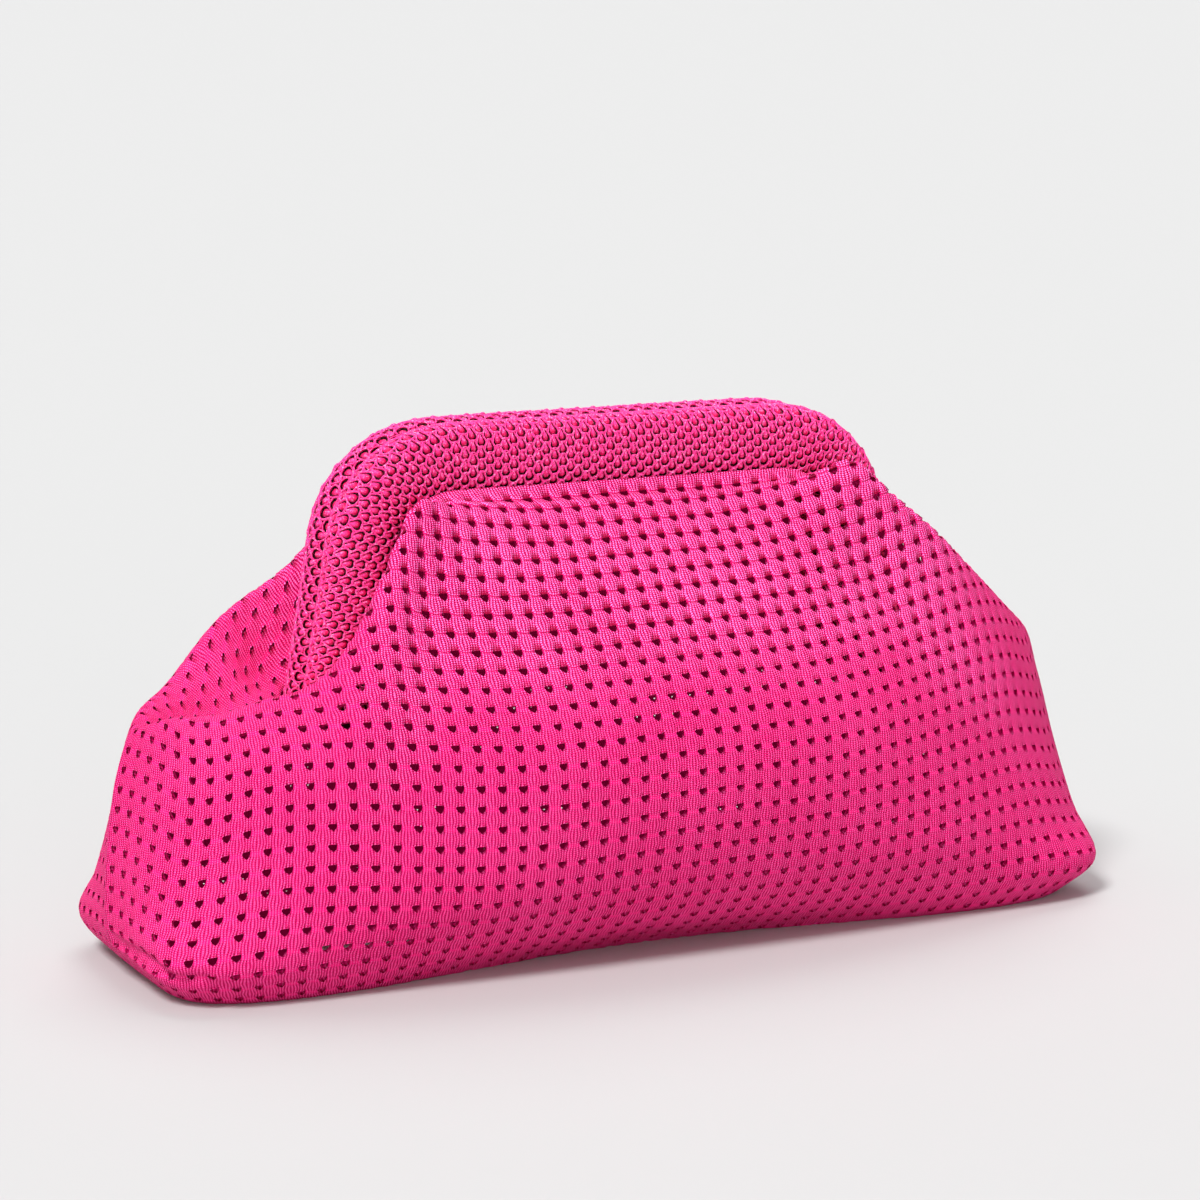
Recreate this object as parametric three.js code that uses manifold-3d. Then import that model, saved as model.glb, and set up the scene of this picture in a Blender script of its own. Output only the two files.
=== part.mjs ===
import * as THREE from 'three';
import { mergeVertices } from 'three/addons/utils/BufferGeometryUtils.js';
import Module from 'manifold-3d';

// Knitted frame pouch bag: a soft eyelet-knit sack under an arched mouth of two thick knitted rolls.
// Millimetres, +Z up, origin on the ground under the middle of the base, front face towards -Y.

// Knit thicknesses and the gap kept between neighbouring pieces
const POUCH_WALL = 2.2;
const CASING_WALL = 2.4;
const PIECE_GAP = 0.6;

// Mouth arch, given by the outer line of the rolls seen from the front
const ARCH_TOP = 184.5;
const ARCH_RADIUS = 45;
const ARCH_CORNER_ACROSS = 63.5;
const ARCH_FOOT_ACROSS = 117;
const ARCH_FOOT_UP = 91;
const ARCH_CORNER_UP = ARCH_TOP - ARCH_RADIUS;
const ARCH_CORNER_STEPS = 5;
const ARCH_SPLAY = (ARCH_FOOT_ACROSS - ARCH_CORNER_ACROSS - ARCH_RADIUS) / (ARCH_CORNER_UP - ARCH_FOOT_UP);

// Cross-section of one roll: its size in the arch's plane, its depth, and its distance from the slit
const ROLL_HEIGHT = 24.5;
const ROLL_DEPTH = 15.4;
const ROLL_CENTRE = ROLL_DEPTH / 2 + PIECE_GAP;
const ROLL_SQUARENESS = 2.6;
const ROLL_SIDES = 16;

// Hidden frame: bars that fill the rolls, run on below their feet and meet in a pivot at each end
const BAR_SIDES = 8;
const BAR_FOOT_DROP = 7;
const PIVOT_RADIUS = 3.5;
const PIVOT_SIDES = 12;

// Horizontal sections of the pouch, from the ground up. The depth is taken at mid length, cornerDepth is
// what the base corners stand further out, and ridge is the pinched upright edge of each end.
const SECTIONS = [
  { height: 0, halfLength: 174, halfDepth: 35, cornerDepth: 17, squareness: 6.0, ridge: 0 },
  { height: 14, halfLength: 185, halfDepth: 57, cornerDepth: 4, squareness: 7.0, ridge: 1 },
  { height: 32, halfLength: 184, halfDepth: 71, cornerDepth: 0, squareness: 3.2, ridge: 3 },
  { height: 60, halfLength: 180, halfDepth: 79, cornerDepth: 0, squareness: 2.2, ridge: 4 },
  { height: 88, halfLength: 174, halfDepth: 74, cornerDepth: 0, squareness: 2.05, ridge: 4 },
  { height: 110, halfLength: 170, halfDepth: 60, cornerDepth: 0, squareness: 2.3, ridge: 0 },
  { height: 138, halfLength: 168, halfDepth: 37, cornerDepth: 0, squareness: 2.4, ridge: 0 },
  { height: 164, halfLength: 166, halfDepth: 18, cornerDepth: 0, squareness: 2.4, ridge: 0 },
];
const CORNER_REACH = 0.9;
const RIDGE_SPREAD = 9;
const SECTION_SAMPLES = 90;

// Fold line of each upper corner, from the middle of the mouth out to the knee at the end of the bag
const FOLD_LINE = [
  { across: 0, depth: 23.5, height: 155 },
  { across: 40, depth: 23.5, height: 155.5 },
  { across: 70, depth: 25.5, height: 160.5 },
  { across: 84, depth: 30, height: 166 },
  { across: 98, depth: 34, height: 154 },
  { across: 115, depth: 35, height: 140 },
  { across: 133, depth: 30, height: 124.5 },
  { across: 153, depth: 22, height: 108 },
  { across: 168, depth: 13, height: 96.5 },
  { across: 176, depth: 0, height: 87.5 },
];

// The folds on the left have sunk, the front one most
const SAGS = [
  { right: -1, back: -1, across: 120, spread: 27, drop: 29.5 },
  { right: -1, back: -1, across: 154, spread: 16, drop: 8.5 },
  { right: -1, back: 1, across: 106, spread: 27, drop: 15.5 },
  { right: -1, back: 1, across: 155, spread: 20, drop: 8.5 },
];

// Where the knit leaves the roll, turns round its foot to the hinge, and runs on as the valley of the gusset
const SEAM_TURN = 0.5;
const SEAM_FOOT = [
  { across: 96, depth: 17, height: 109 },
  { across: 103, depth: 18, height: 100 },
  { across: 113, depth: 17.5, height: 94 },
  { across: 119.5, depth: 9, height: 90.5 },
  { across: 121, depth: 0, height: 89.5 },
];
const VALLEY = [
  { across: 121, depth: 0, height: 89.5 },
  { across: 142, depth: 0, height: 86.5 },
  { across: 160, depth: 0, height: 84.5 },
];

// The wall between fold and seam: a rounded lip just past the fold, then a droop where the wall is wide
const LIP_SHARE = 0.24;
const WALL_SHARE = 0.6;
const VALLEY_DROOP = 5;
const WALL_REACH = 30;

// Mesh density: columns round each quarter, the share of them that ends on the mouth seam, and levels
const QUARTER_COLUMNS = 24;
const SEAM_SHARE = 0.75;
const LEVELS_PER_KNOT = 2;
const LOW_HEIGHTS = [0, 14, 32];
const HIGH_SHARES = [0.36, 0.74];

// Passes that even out the directions the wall is measured in, so that it stays clear of itself in the folds
const WALL_PASSES = 3;

// Points nearer to each other than this are one point
const WELD = 0.001;

const PINK_KNIT = new THREE.MeshStandardMaterial({ color: 0xe23c88, roughness: 0.85, metalness: 0 });
const PINK_ROLL = new THREE.MeshStandardMaterial({ color: 0xdb3079, roughness: 0.85, metalness: 0 });
const FRAME_METAL = new THREE.MeshStandardMaterial({ color: 0xb9babd, roughness: 0.35, metalness: 1 });

const wasm = await Module();
wasm.setup();

// One column of the section table at any height, as a smooth curve through its rows
function sectionValue(column, height) {
  const last = SECTIONS.length - 1;
  let row = 0;
  while (row < last - 1 && SECTIONS[row + 1].height < height) row += 1;
  const slope = (at) => {
    const below = SECTIONS[Math.max(at - 1, 0)];
    const above = SECTIONS[Math.min(at + 1, last)];
    return (above[column] - below[column]) / (above.height - below.height);
  };
  const [low, high] = [SECTIONS[row], SECTIONS[row + 1]];
  const span = high.height - low.height;
  const t = (height - low.height) / span;
  const rise = high[column] - low[column];
  const [start, end] = [slope(row) * span, slope(row + 1) * span];
  return low[column] + t * (start + t * (3 * rise - 2 * start - end + t * (start + end - 2 * rise)));
}

// A quarter of a horizontal section, from the middle of the front to the middle of the end
class SectionCurve extends THREE.Curve {
  constructor(height) {
    super();
    this.height = height;
    this.size = Object.fromEntries(Object.keys(SECTIONS[0]).map((key) => [key, sectionValue(key, height)]));
    this.arcLengthDivisions = SECTION_SAMPLES;
  }

  getPoint(t, target = new THREE.Vector3()) {
    const { halfLength, halfDepth, cornerDepth, squareness, ridge } = this.size;
    const sin = Math.sin((t * Math.PI) / 2);
    const cos = Math.cos((t * Math.PI) / 2);
    const reach = (Math.abs(sin) ** squareness + Math.abs(cos) ** squareness) ** (-1 / squareness);
    const toCorner = Math.min((reach * sin) / CORNER_REACH, 1);
    const depth = halfDepth + cornerDepth * Math.sin((toCorner * Math.PI) / 2) ** 2;
    const y = depth * reach * cos;
    return target.set(halfLength * reach * sin + ridge * Math.exp(-y / RIDGE_SPREAD), y, this.height);
  }
}

// The arch as a flat path, set in from the outer line of the rolls
function archPath(inset, footUp) {
  const radius = ARCH_RADIUS - inset;
  const footAcross = ARCH_FOOT_ACROSS - inset + (ARCH_FOOT_UP - footUp) * ARCH_SPLAY;
  const path = new THREE.Path();
  path.moveTo(-footAcross, footUp);
  path.lineTo(-(ARCH_CORNER_ACROSS + radius), ARCH_CORNER_UP);
  path.absarc(-ARCH_CORNER_ACROSS, ARCH_CORNER_UP, radius, Math.PI, Math.PI / 2, true);
  path.absarc(ARCH_CORNER_ACROSS, ARCH_CORNER_UP, radius, Math.PI / 2, 0, true);
  path.lineTo(footAcross, footUp);
  return path;
}

// Point of a squared oval at an angle, for half sizes a and b
function squaredOval(angle, a, b, squareness) {
  const power = 2 / squareness;
  const [cos, sin] = [Math.cos(angle), Math.sin(angle)];
  return [a * Math.sign(cos) * Math.abs(cos) ** power, b * Math.sign(sin) * Math.abs(sin) ** power];
}

// Rings of a squared oval carried along the arch, on the front or back side of the slit
function archRings(side, halfDepth, halfHeight, footUp, sides) {
  const points = archPath(ROLL_HEIGHT / 2, footUp).getPoints(ARCH_CORNER_STEPS);
  return points.map((point, i) => {
    const before = points[Math.max(i - 1, 0)];
    const after = points[Math.min(i + 1, points.length - 1)];
    const along = after.clone().sub(before).normalize();
    return Array.from({ length: sides }, (_, k) => {
      const angle = (k * 2 * Math.PI) / sides;
      const [deep, out] = squaredOval(angle, halfDepth, halfHeight, ROLL_SQUARENESS);
      const across = point.x - along.y * out;
      const up = point.y + along.x * out;
      return new THREE.Vector3(across, side * ROLL_CENTRE + deep, Math.max(up, footUp));
    });
  });
}

// A mesh from rings of equal count, joined ring to ring; the last ring meets the first where it is closed
function ringGeometry(rings, closed) {
  const count = rings[0].length;
  const index = [];
  const spans = closed ? rings.length : rings.length - 1;
  for (let i = 0; i < spans; i += 1) {
    const next = (i + 1) % rings.length;
    for (let k = 0; k < count; k += 1) {
      const side = (k + 1) % count;
      const corners = [i * count + k, i * count + side, next * count + side, next * count + k];
      index.push(corners[0], corners[1], corners[2], corners[0], corners[2], corners[3]);
    }
  }
  if (!closed) {
    const lastStart = (rings.length - 1) * count;
    for (let k = 1; k < count - 1; k += 1) {
      index.push(0, k + 1, k, lastStart, lastStart + k, lastStart + k + 1);
    }
  }
  const geometry = new THREE.BufferGeometry().setFromPoints(rings.flat());
  geometry.setIndex(index);
  return geometry;
}

// A knitted roll: a tube open at both feet, its inner face joined to its outer one round each foot
function rollGeometry(side) {
  const [halfDepth, halfHeight] = [ROLL_DEPTH / 2, ROLL_HEIGHT / 2];
  const outer = archRings(side, halfDepth, halfHeight, ARCH_FOOT_UP, ROLL_SIDES);
  const bore = [halfDepth - CASING_WALL, halfHeight - CASING_WALL];
  const inner = archRings(side, ...bore, ARCH_FOOT_UP, ROLL_SIDES);
  return ringGeometry([...outer, ...inner.reverse()], true);
}

// A closed geometry as a solid for joining
function toSolid(geometry) {
  const bare = geometry.index ? geometry.clone() : mergeVertices(geometry);
  bare.deleteAttribute('normal');
  bare.deleteAttribute('uv');
  const merged = mergeVertices(bare, WELD);
  const mesh = new wasm.Mesh({
    numProp: 3,
    vertProperties: new Float32Array(merged.attributes.position.array),
    triVerts: new Uint32Array(merged.index.array),
  });
  return new wasm.Manifold(mesh);
}

// A solid back as a geometry
function fromSolid(solid) {
  const mesh = solid.getMesh();
  const geometry = new THREE.BufferGeometry();
  geometry.setAttribute('position', new THREE.BufferAttribute(mesh.vertProperties, 3));
  geometry.setIndex(new THREE.BufferAttribute(mesh.triVerts, 1));
  return geometry;
}

// The hidden frame: a bar in each roll, joined below the feet by the two pivots
function frameGeometry() {
  const clear = CASING_WALL + PIECE_GAP;
  const footUp = ARCH_FOOT_UP - BAR_FOOT_DROP;
  const bars = [-1, 1].map((side) => {
    const rings = archRings(side, ROLL_DEPTH / 2 - clear, ROLL_HEIGHT / 2 - clear, footUp, BAR_SIDES);
    return toSolid(ringGeometry(rings, false));
  });
  const pivots = [-1, 1].map((end) => {
    const pivot = new THREE.CylinderGeometry(PIVOT_RADIUS, PIVOT_RADIUS, 2 * ROLL_CENTRE, PIVOT_SIDES);
    pivot.translate(end * (ARCH_FOOT_ACROSS - ROLL_HEIGHT / 2), 0, footUp + PIVOT_RADIUS / 2);
    return toSolid(pivot);
  });
  return fromSolid([...bars, ...pivots].reduce((joined, solid) => joined.add(solid)));
}

// A smooth curve through the rows of a table
function tableCurve(rows) {
  return new THREE.CatmullRomCurve3(rows.map((row) => new THREE.Vector3(row.across, row.depth, row.height)));
}

// Mouth seam of one quarter: along the lower edge of the roll, then round its foot to the hinge
function seamCurve() {
  const lean = SEAM_TURN * (Math.PI / 2);
  const reach = [ROLL_DEPTH / 2 + PIECE_GAP, ROLL_HEIGHT / 2 + PIECE_GAP];
  const [deep, inward] = squaredOval(lean, ...reach, ROLL_SQUARENESS);
  const arch = archPath(ROLL_HEIGHT / 2 + inward, SEAM_FOOT[0].height).getPoints(ARCH_CORNER_STEPS);
  const half = arch.filter((point) => point.x > ARCH_CORNER_ACROSS - WELD && point.y > SEAM_FOOT[0].height);
  const rows = half.map((point) => ({ across: point.x, depth: ROLL_CENTRE + deep, height: point.y }));
  const middle = { ...rows[0], across: 0 };
  const between = { ...rows[0], across: rows[0].across / 2 };
  return tableCurve([middle, between, ...rows, ...SEAM_FOOT]);
}

const foldLine = tableCurve(FOLD_LINE);
const mouthSeam = seamCurve();
const valley = tableCurve(VALLEY);

// Where the knit ends at a share of the way round a quarter: on the mouth seam, then along the valley
function knitEnd(share) {
  if (share <= SEAM_SHARE) return mouthSeam.getPointAt(share / SEAM_SHARE);
  return valley.getPointAt((share - SEAM_SHARE) / (1 - SEAM_SHARE));
}

// One upright line of the knit, from the ground over the fold to its end, in the quarter given by two signs
function uprightLine(share, right, back) {
  const fold = foldLine.getPointAt(share);
  SAGS.filter((sag) => sag.right === right && sag.back === back).forEach((sag) => {
    fold.z -= sag.drop * Math.exp(-(((fold.x - sag.across) / sag.spread) ** 2));
  });
  const lowest = LOW_HEIGHTS[LOW_HEIGHTS.length - 1];
  const heights = [...LOW_HEIGHTS, ...HIGH_SHARES.map((part) => lowest + part * (fold.z - lowest))];
  const knots = heights.map((height) => new SectionCurve(height).getPointAt(share));
  const end = knitEnd(share);
  const droop = VALLEY_DROOP * Math.min(fold.distanceTo(end) / WALL_REACH, 1);
  const lip = fold.clone().lerp(end, LIP_SHARE);
  const wall = fold.clone().lerp(end, WALL_SHARE);
  wall.z -= droop;
  const line = new THREE.CatmullRomCurve3([...knots, fold, lip, wall, end]);
  const levels = line.getPoints(LEVELS_PER_KNOT * (line.points.length - 1));
  return levels.map((point) => new THREE.Vector3(right * point.x, back * point.y, point.z));
}

// All upright lines, anticlockwise from the middle of the front
function uprightLines() {
  const quarters = [[1, -1], [1, 1], [-1, 1], [-1, -1]];
  return quarters.flatMap(([right, back], quarter) =>
    Array.from({ length: QUARTER_COLUMNS }, (_, i) => {
      const share = i / QUARTER_COLUMNS;
      return uprightLine(quarter % 2 === 0 ? share : 1 - share, right, back);
    }));
}

// The outer face of the pouch: its sides, and the flat base as a fan inside the ring that meets the ground
function pouchFace() {
  const lines = uprightLines();
  const levels = lines[0].length;
  const baseMiddle = lines.length * levels;
  const index = [];
  lines.forEach((_, column) => {
    const next = (column + 1) % lines.length;
    for (let level = 0; level < levels - 1; level += 1) {
      const corners = [column * levels + level, next * levels + level];
      index.push(corners[0], corners[1], corners[1] + 1, corners[0], corners[1] + 1, corners[0] + 1);
    }
    index.push(baseMiddle, next * levels, column * levels);
  });
  const face = new THREE.BufferGeometry().setFromPoints([...lines.flat(), new THREE.Vector3()]);
  face.setIndex(index);
  const merged = mergeVertices(face, WELD);
  merged.computeVertexNormals();
  return merged;
}

// Directions the wall is measured in: the face's normals, evened out with those of the neighbouring points
function wallDirections(face) {
  const triangles = face.index.array;
  const { count } = face.attributes.normal;
  let directions = [];
  for (let i = 0; i < count; i += 1) {
    directions.push(new THREE.Vector3().fromBufferAttribute(face.attributes.normal, i));
  }
  for (let pass = 0; pass < WALL_PASSES; pass += 1) {
    const sums = directions.map((direction) => direction.clone());
    for (let i = 0; i < triangles.length; i += 3) {
      const corners = triangles.subarray(i, i + 3);
      corners.forEach((corner) => corners.forEach((other) => sums[corner].add(directions[other])));
    }
    directions = sums.map((sum) => sum.normalize());
  }
  return directions;
}

// A face given a wall: a second face inside it, joined to it round every open edge
function walled(face, wall) {
  const outer = face.attributes.position;
  const directions = wallDirections(face);
  const triangles = face.index.array;
  const count = outer.count;
  const points = [];
  for (let i = 0; i < count; i += 1) points.push(new THREE.Vector3().fromBufferAttribute(outer, i));
  for (let i = 0; i < count; i += 1) {
    const inner = points[i].clone().addScaledVector(directions[i], -wall);
    if (points[i].z === 0) inner.z = wall;
    points.push(inner);
  }
  const index = [];
  const edges = new Set();
  for (let i = 0; i < triangles.length; i += 3) {
    const [a, b, c] = triangles.subarray(i, i + 3);
    index.push(a, b, c, a + count, c + count, b + count);
    [[a, b], [b, c], [c, a]].forEach(([from, to]) => edges.add(`${from},${to}`));
  }
  edges.forEach((edge) => {
    const [from, to] = edge.split(',').map(Number);
    if (edges.has(`${to},${from}`)) return;
    index.push(from, from + count, to + count, from, to + count, to);
  });
  const geometry = new THREE.BufferGeometry().setFromPoints(points);
  geometry.setIndex(index);
  return geometry;
}

function namedMesh(name, geometry, material) {
  const mesh = new THREE.Mesh(geometry, material);
  mesh.name = name;
  return mesh;
}

const bag = new THREE.Group();
bag.add(namedMesh('pouch_body', walled(pouchFace(), POUCH_WALL), PINK_KNIT));
bag.add(namedMesh('front_casing', rollGeometry(-1), PINK_ROLL));
bag.add(namedMesh('back_casing', rollGeometry(1), PINK_ROLL));
bag.add(namedMesh('mouth_frame', frameGeometry(), FRAME_METAL));

export default bag;
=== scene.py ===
"""Looks of a knitted frame pouch bag: eyelet-knit panels under an arched mouth of two tuck-stitch rolls.

Sizes are in millimetres, as a maker would write them, and become metres where a mesh is made. The bag
stands on the ground with +Z up, its length along X and its front towards -Y.
"""
import logging
import math
from collections.abc import Iterable, Mapping, Sequence
from dataclasses import astuple, dataclass, field
from enum import Enum

import bpy
import numpy as np
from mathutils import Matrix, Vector


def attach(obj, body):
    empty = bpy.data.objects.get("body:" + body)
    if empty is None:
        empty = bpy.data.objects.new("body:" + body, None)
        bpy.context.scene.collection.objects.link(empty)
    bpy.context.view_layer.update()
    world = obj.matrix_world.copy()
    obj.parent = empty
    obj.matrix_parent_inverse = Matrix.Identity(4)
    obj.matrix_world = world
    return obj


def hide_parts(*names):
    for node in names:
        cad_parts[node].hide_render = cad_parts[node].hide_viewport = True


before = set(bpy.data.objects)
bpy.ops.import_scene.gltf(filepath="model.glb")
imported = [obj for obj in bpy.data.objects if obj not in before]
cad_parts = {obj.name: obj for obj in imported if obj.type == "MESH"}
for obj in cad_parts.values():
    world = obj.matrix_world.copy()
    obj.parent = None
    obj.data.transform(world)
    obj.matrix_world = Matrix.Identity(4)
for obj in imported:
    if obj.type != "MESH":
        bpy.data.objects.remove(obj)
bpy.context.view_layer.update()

LOG = logging.getLogger("pouch_bag")
METRES = 0.001
SMALLEST_GAP = 1e-6
SMALLEST_LENGTH = 1e-9
BODY = "root"
BLACK = (0.0, 0.0, 0.0, 1.0)
Value = "Term | float"
Span = tuple[float, float]
Colour = tuple[float, ...]
Settings = Mapping[str, object]
Inputs = Mapping[object, object]


class Side(Enum):
    """Which half of the bag a piece belongs to, as the sign of Y."""

    FRONT = -1
    BACK = 1


class Slot(Enum):
    """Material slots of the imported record."""

    EYELET_KNIT = "eyelet_knit"
    ROLL_KNIT = "roll_knit"
    FRAME_METAL = "frame_metal"


def srgb(red: int, green: int, blue: int) -> Colour:
    """Return a colour in linear values with full alpha.

    Args:
        red: Display value of red, 0 to 255.
        green: Display value of green.
        blue: Display value of blue.

    Returns:
        Linear red, green and blue, and alpha.
    """
    parts = [channel / 255 for channel in (red, green, blue)]
    linear = [part / 12.92 if part <= 0.04045 else ((part + 0.055) / 1.055) ** 2.4 for part in parts]
    return (*linear, 1.0)


def catmull_rom(knots: np.ndarray, per_span: int) -> np.ndarray:
    """Run centripetal curves through rows of knots.

    Args:
        knots: Array of lines, knots and coordinates.
        per_span: Points made from each knot up to the next.

    Returns:
        Array of lines, points and coordinates, the last knot included.
    """
    first = 2 * knots[:, :1] - knots[:, 1:2]
    last = 2 * knots[:, -1:] - knots[:, -2:-1]
    ends = np.concatenate([first, knots, last], axis=1)
    apart = np.linalg.norm(np.diff(ends, axis=1), axis=2, keepdims=True)
    gaps = np.sqrt(np.maximum(apart, SMALLEST_GAP))
    gap_in, gap, gap_out = gaps[:, :-2], gaps[:, 1:-1], gaps[:, 2:]
    before, start, stop, after = ends[:, :-3], ends[:, 1:-2], ends[:, 2:-1], ends[:, 3:]
    leave = (start - before) / gap_in - (stop - before) / (gap_in + gap) + (stop - start) / gap
    arrive = (stop - start) / gap - (after - start) / (gap + gap_out) + (after - stop) / gap_out
    leave, arrive = leave * gap, arrive * gap
    square = 3 * (stop - start) - 2 * leave - arrive
    cube = 2 * (start - stop) + leave + arrive
    steps = np.arange(per_span)[None, None, :, None] / per_span
    spans = [part[:, :, None, :] for part in (start, leave, square, cube)]
    points = spans[0] + steps * (spans[1] + steps * (spans[2] + steps * spans[3]))
    flat = points.reshape(len(knots), -1, knots.shape[2])
    return np.concatenate([flat, knots[:, -1:]], axis=1)


def lengths_along(points: np.ndarray) -> np.ndarray:
    """Return the length from the first point to each point of one polyline, or of each of several."""
    steps = np.linalg.norm(np.diff(points, axis=-2), axis=-1)
    return np.concatenate([np.zeros_like(steps[..., :1]), np.cumsum(steps, axis=-1)], axis=-1)


def points_at(points: np.ndarray, places: np.ndarray, lengths: np.ndarray | None = None) -> np.ndarray:
    """Return points of one polyline at given lengths along it.

    Args:
        points: The polyline.
        places: Lengths along it.
        lengths: Length of each of its points, worked out where it isn't given.

    Returns:
        One point for each place.
    """
    known = lengths_along(points) if lengths is None else lengths
    return np.stack([np.interp(places, known, points[:, axis]) for axis in range(points.shape[1])], axis=-1)


def squared_oval(angles: np.ndarray, half_deep: float, half_out: float, squareness: float) -> np.ndarray:
    """Return points of a squared oval.

    Args:
        angles: Angle of each point.
        half_deep: Half its depth.
        half_out: Half its outward size.
        squareness: Power of its outline, 2 for a plain oval.

    Returns:
        Columns of depth and outward size.
    """
    power = 2 / squareness
    cos, sin = np.cos(angles), np.sin(angles)
    deep = half_deep * np.sign(cos) * np.abs(cos) ** power
    out = half_out * np.sign(sin) * np.abs(sin) ** power
    return np.stack([deep, out], axis=-1)


def ring_angles(count: int) -> np.ndarray:
    """Return angles evenly round a ring, the first one straight up."""
    return np.arange(count) * 2 * math.pi / count + math.pi / 2


def ring_pairs(items: Sequence) -> list[tuple]:
    """Return each item of a ring with the one after it."""
    return list(zip(items, [*items[1:], *items[:1]]))


def unit(vectors: np.ndarray) -> np.ndarray:
    """Return vectors scaled to length one."""
    return vectors / np.maximum(np.linalg.norm(vectors, axis=-1, keepdims=True), SMALLEST_LENGTH)


def point_normals(points: np.ndarray, faces: np.ndarray) -> np.ndarray:
    """Work out normals at points, weighted by area.

    Args:
        points: Rows of coordinates.
        faces: Quads, which may have collapsed corners.

    Returns:
        One unit normal for each point.
    """
    corners = points[faces]
    crosses = np.cross(corners[:, 2] - corners[:, 0], corners[:, 3] - corners[:, 1])
    normals = np.zeros_like(points)
    for corner in range(4):
        np.add.at(normals, faces[:, corner], crosses)
    return unit(normals)


def put_in_scene(name: str, data: bpy.types.ID) -> bpy.types.Object:
    """Link a new object to the scene.

    Args:
        name: The object's name.
        data: Its mesh, light or camera.

    Returns:
        The object.
    """
    made = bpy.data.objects.new(name, data)
    bpy.context.scene.collection.objects.link(made)
    return made


class MeshPiece:
    """A mesh object in the making: its points in millimetres, its faces, and its named point values."""

    def __init__(self, name: str) -> None:
        """Start an empty piece.

        Args:
            name: Name of the object to be.
        """
        self.name = name
        self.points: list[np.ndarray] = []
        self.faces: list[Sequence[int]] = []
        self.values: dict[str, list[np.ndarray]] = {}
        self.count = 0

    def add_points(self, points: np.ndarray, **values: np.ndarray | float) -> np.ndarray:
        """Add points with their named values.

        Args:
            points: Rows of coordinates in millimetres.
            values: One number, or one row of numbers, for each point under each name.

        Returns:
            The new points' indices.
        """
        rows = points.reshape(-1, 3)
        self.points.append(rows)
        for key, value in values.items():
            wide = np.broadcast_to(value, (len(rows), *np.shape(value)[1:]))
            self.values.setdefault(key, []).append(wide)
        indices = np.arange(self.count, self.count + len(rows))
        self.count += len(rows)
        return indices

    def add_faces(self, faces: Iterable[Sequence[int]]) -> None:
        """Add faces, leaving out repeated corners and faces that have collapsed to a line.

        Args:
            faces: Point numbers of each face's corners.
        """
        for corners in faces:
            ring = [c for i, c in enumerate(corners) if c != corners[i - 1]]
            if len(set(ring)) == len(ring) and len(ring) >= 3:
                self.faces.append(ring)

    def make(self, uv: str | None = None) -> bpy.types.Object:
        """Make the object.

        Args:
            uv: Name of the two-column point value that becomes the UV map.

        Returns:
            The object, linked to the scene at the origin.
        """
        points = np.concatenate(self.points)
        used = np.unique(np.fromiter((c for face in self.faces for c in face), int)) if self.faces else None
        if used is not None:
            renumber = np.full(len(points), -1)
            renumber[used] = np.arange(len(used))
            points = points[used]
            self.faces = [renumber[list(face)].tolist() for face in self.faces]
        mesh = bpy.data.meshes.new(self.name)
        mesh.from_pydata((points * METRES).tolist(), [], self.faces)
        for key, rows in self.values.items():
            value = np.concatenate(rows)
            value = value if used is None else value[used]
            if key == uv:
                corners = np.empty(len(mesh.loops), np.int32)
                mesh.loops.foreach_get("vertex_index", corners)
                mesh.uv_layers.new(name=key).data.foreach_set("uv", value[corners].astype(np.float32).ravel())
                continue
            kind, channel = ("FLOAT", "value") if value.ndim == 1 else ("FLOAT_VECTOR", "vector")
            attribute = mesh.attributes.new(key, kind, "POINT")
            attribute.data.foreach_set(channel, value.astype(np.float32).ravel())
        mesh.shade_smooth()
        mesh.validate()
        return put_in_scene(self.name, mesh)


def add_skin(piece: MeshPiece, rings: Sequence[np.ndarray], tips: Sequence[int]) -> None:
    """Skin rings of points into a closed form, with its faces outwards.

    Args:
        piece: Piece that holds the points.
        rings: Indices of each ring's points.
        tips: Point that closes the first ring, and point that closes the last one.
    """
    points = np.concatenate(piece.points)
    ring = points[rings[0]] - points[rings[0]].mean(0)
    onward = points[rings[1]].mean(0) - points[rings[0]].mean(0)
    inside_out = np.dot(np.cross(ring, np.roll(ring, -1, 0)).sum(0), onward) < 0
    faces = []
    for k, n in ring_pairs(range(len(ring))):
        faces += [[low[k], low[n], high[n], high[k]] for low, high in zip(rings, rings[1:])]
        faces += [[tips[0], rings[0][n], rings[0][k]], [rings[-1][k], rings[-1][n], tips[1]]]
    piece.add_faces([int(c) for c in (face[::-1] if inside_out else face)] for face in faces)


def put_on(piece: bpy.types.Object, node: str) -> bpy.types.Object:
    """Tie a finished piece to the bag's body.

    Args:
        piece: The finished object.
        node: Solid that it stands for.

    Returns:
        The same object.
    """
    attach(piece, BODY)
    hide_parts(node)
    LOG.info("%s: %d points, %d faces", piece.name, len(piece.data.vertices), len(piece.data.polygons))
    return piece


def add_node(
    tree: bpy.types.NodeTree, kind: str, settings: Settings | None = None, inputs: Inputs | None = None,
) -> bpy.types.Node:
    """Add one node to a tree.

    Args:
        tree: The tree.
        kind: The node's type.
        settings: Its properties, set first.
        inputs: Values or links of its sockets by name or number.

    Returns:
        The node.
    """
    made = tree.nodes.new(kind)
    for key, value in (settings or {}).items():
        setattr(made, key, value)
    for key, value in (inputs or {}).items():
        plug = value.socket if isinstance(value, Term) else value
        if isinstance(plug, bpy.types.NodeSocket):
            tree.links.new(plug, made.inputs[key])
        else:
            made.inputs[key].default_value = plug
    return made


@dataclass(frozen=True)
class Section:
    """One horizontal section of the pouch: half sizes, corner bulge, power of its outline, end ridge."""

    height: float
    half_length: float
    half_depth: float
    corner_depth: float
    squareness: float
    ridge: float


@dataclass(frozen=True)
class Stand:
    """One point of a line on the pouch, in the quarter where all three are positive."""

    across: float
    depth: float
    height: float


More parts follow.
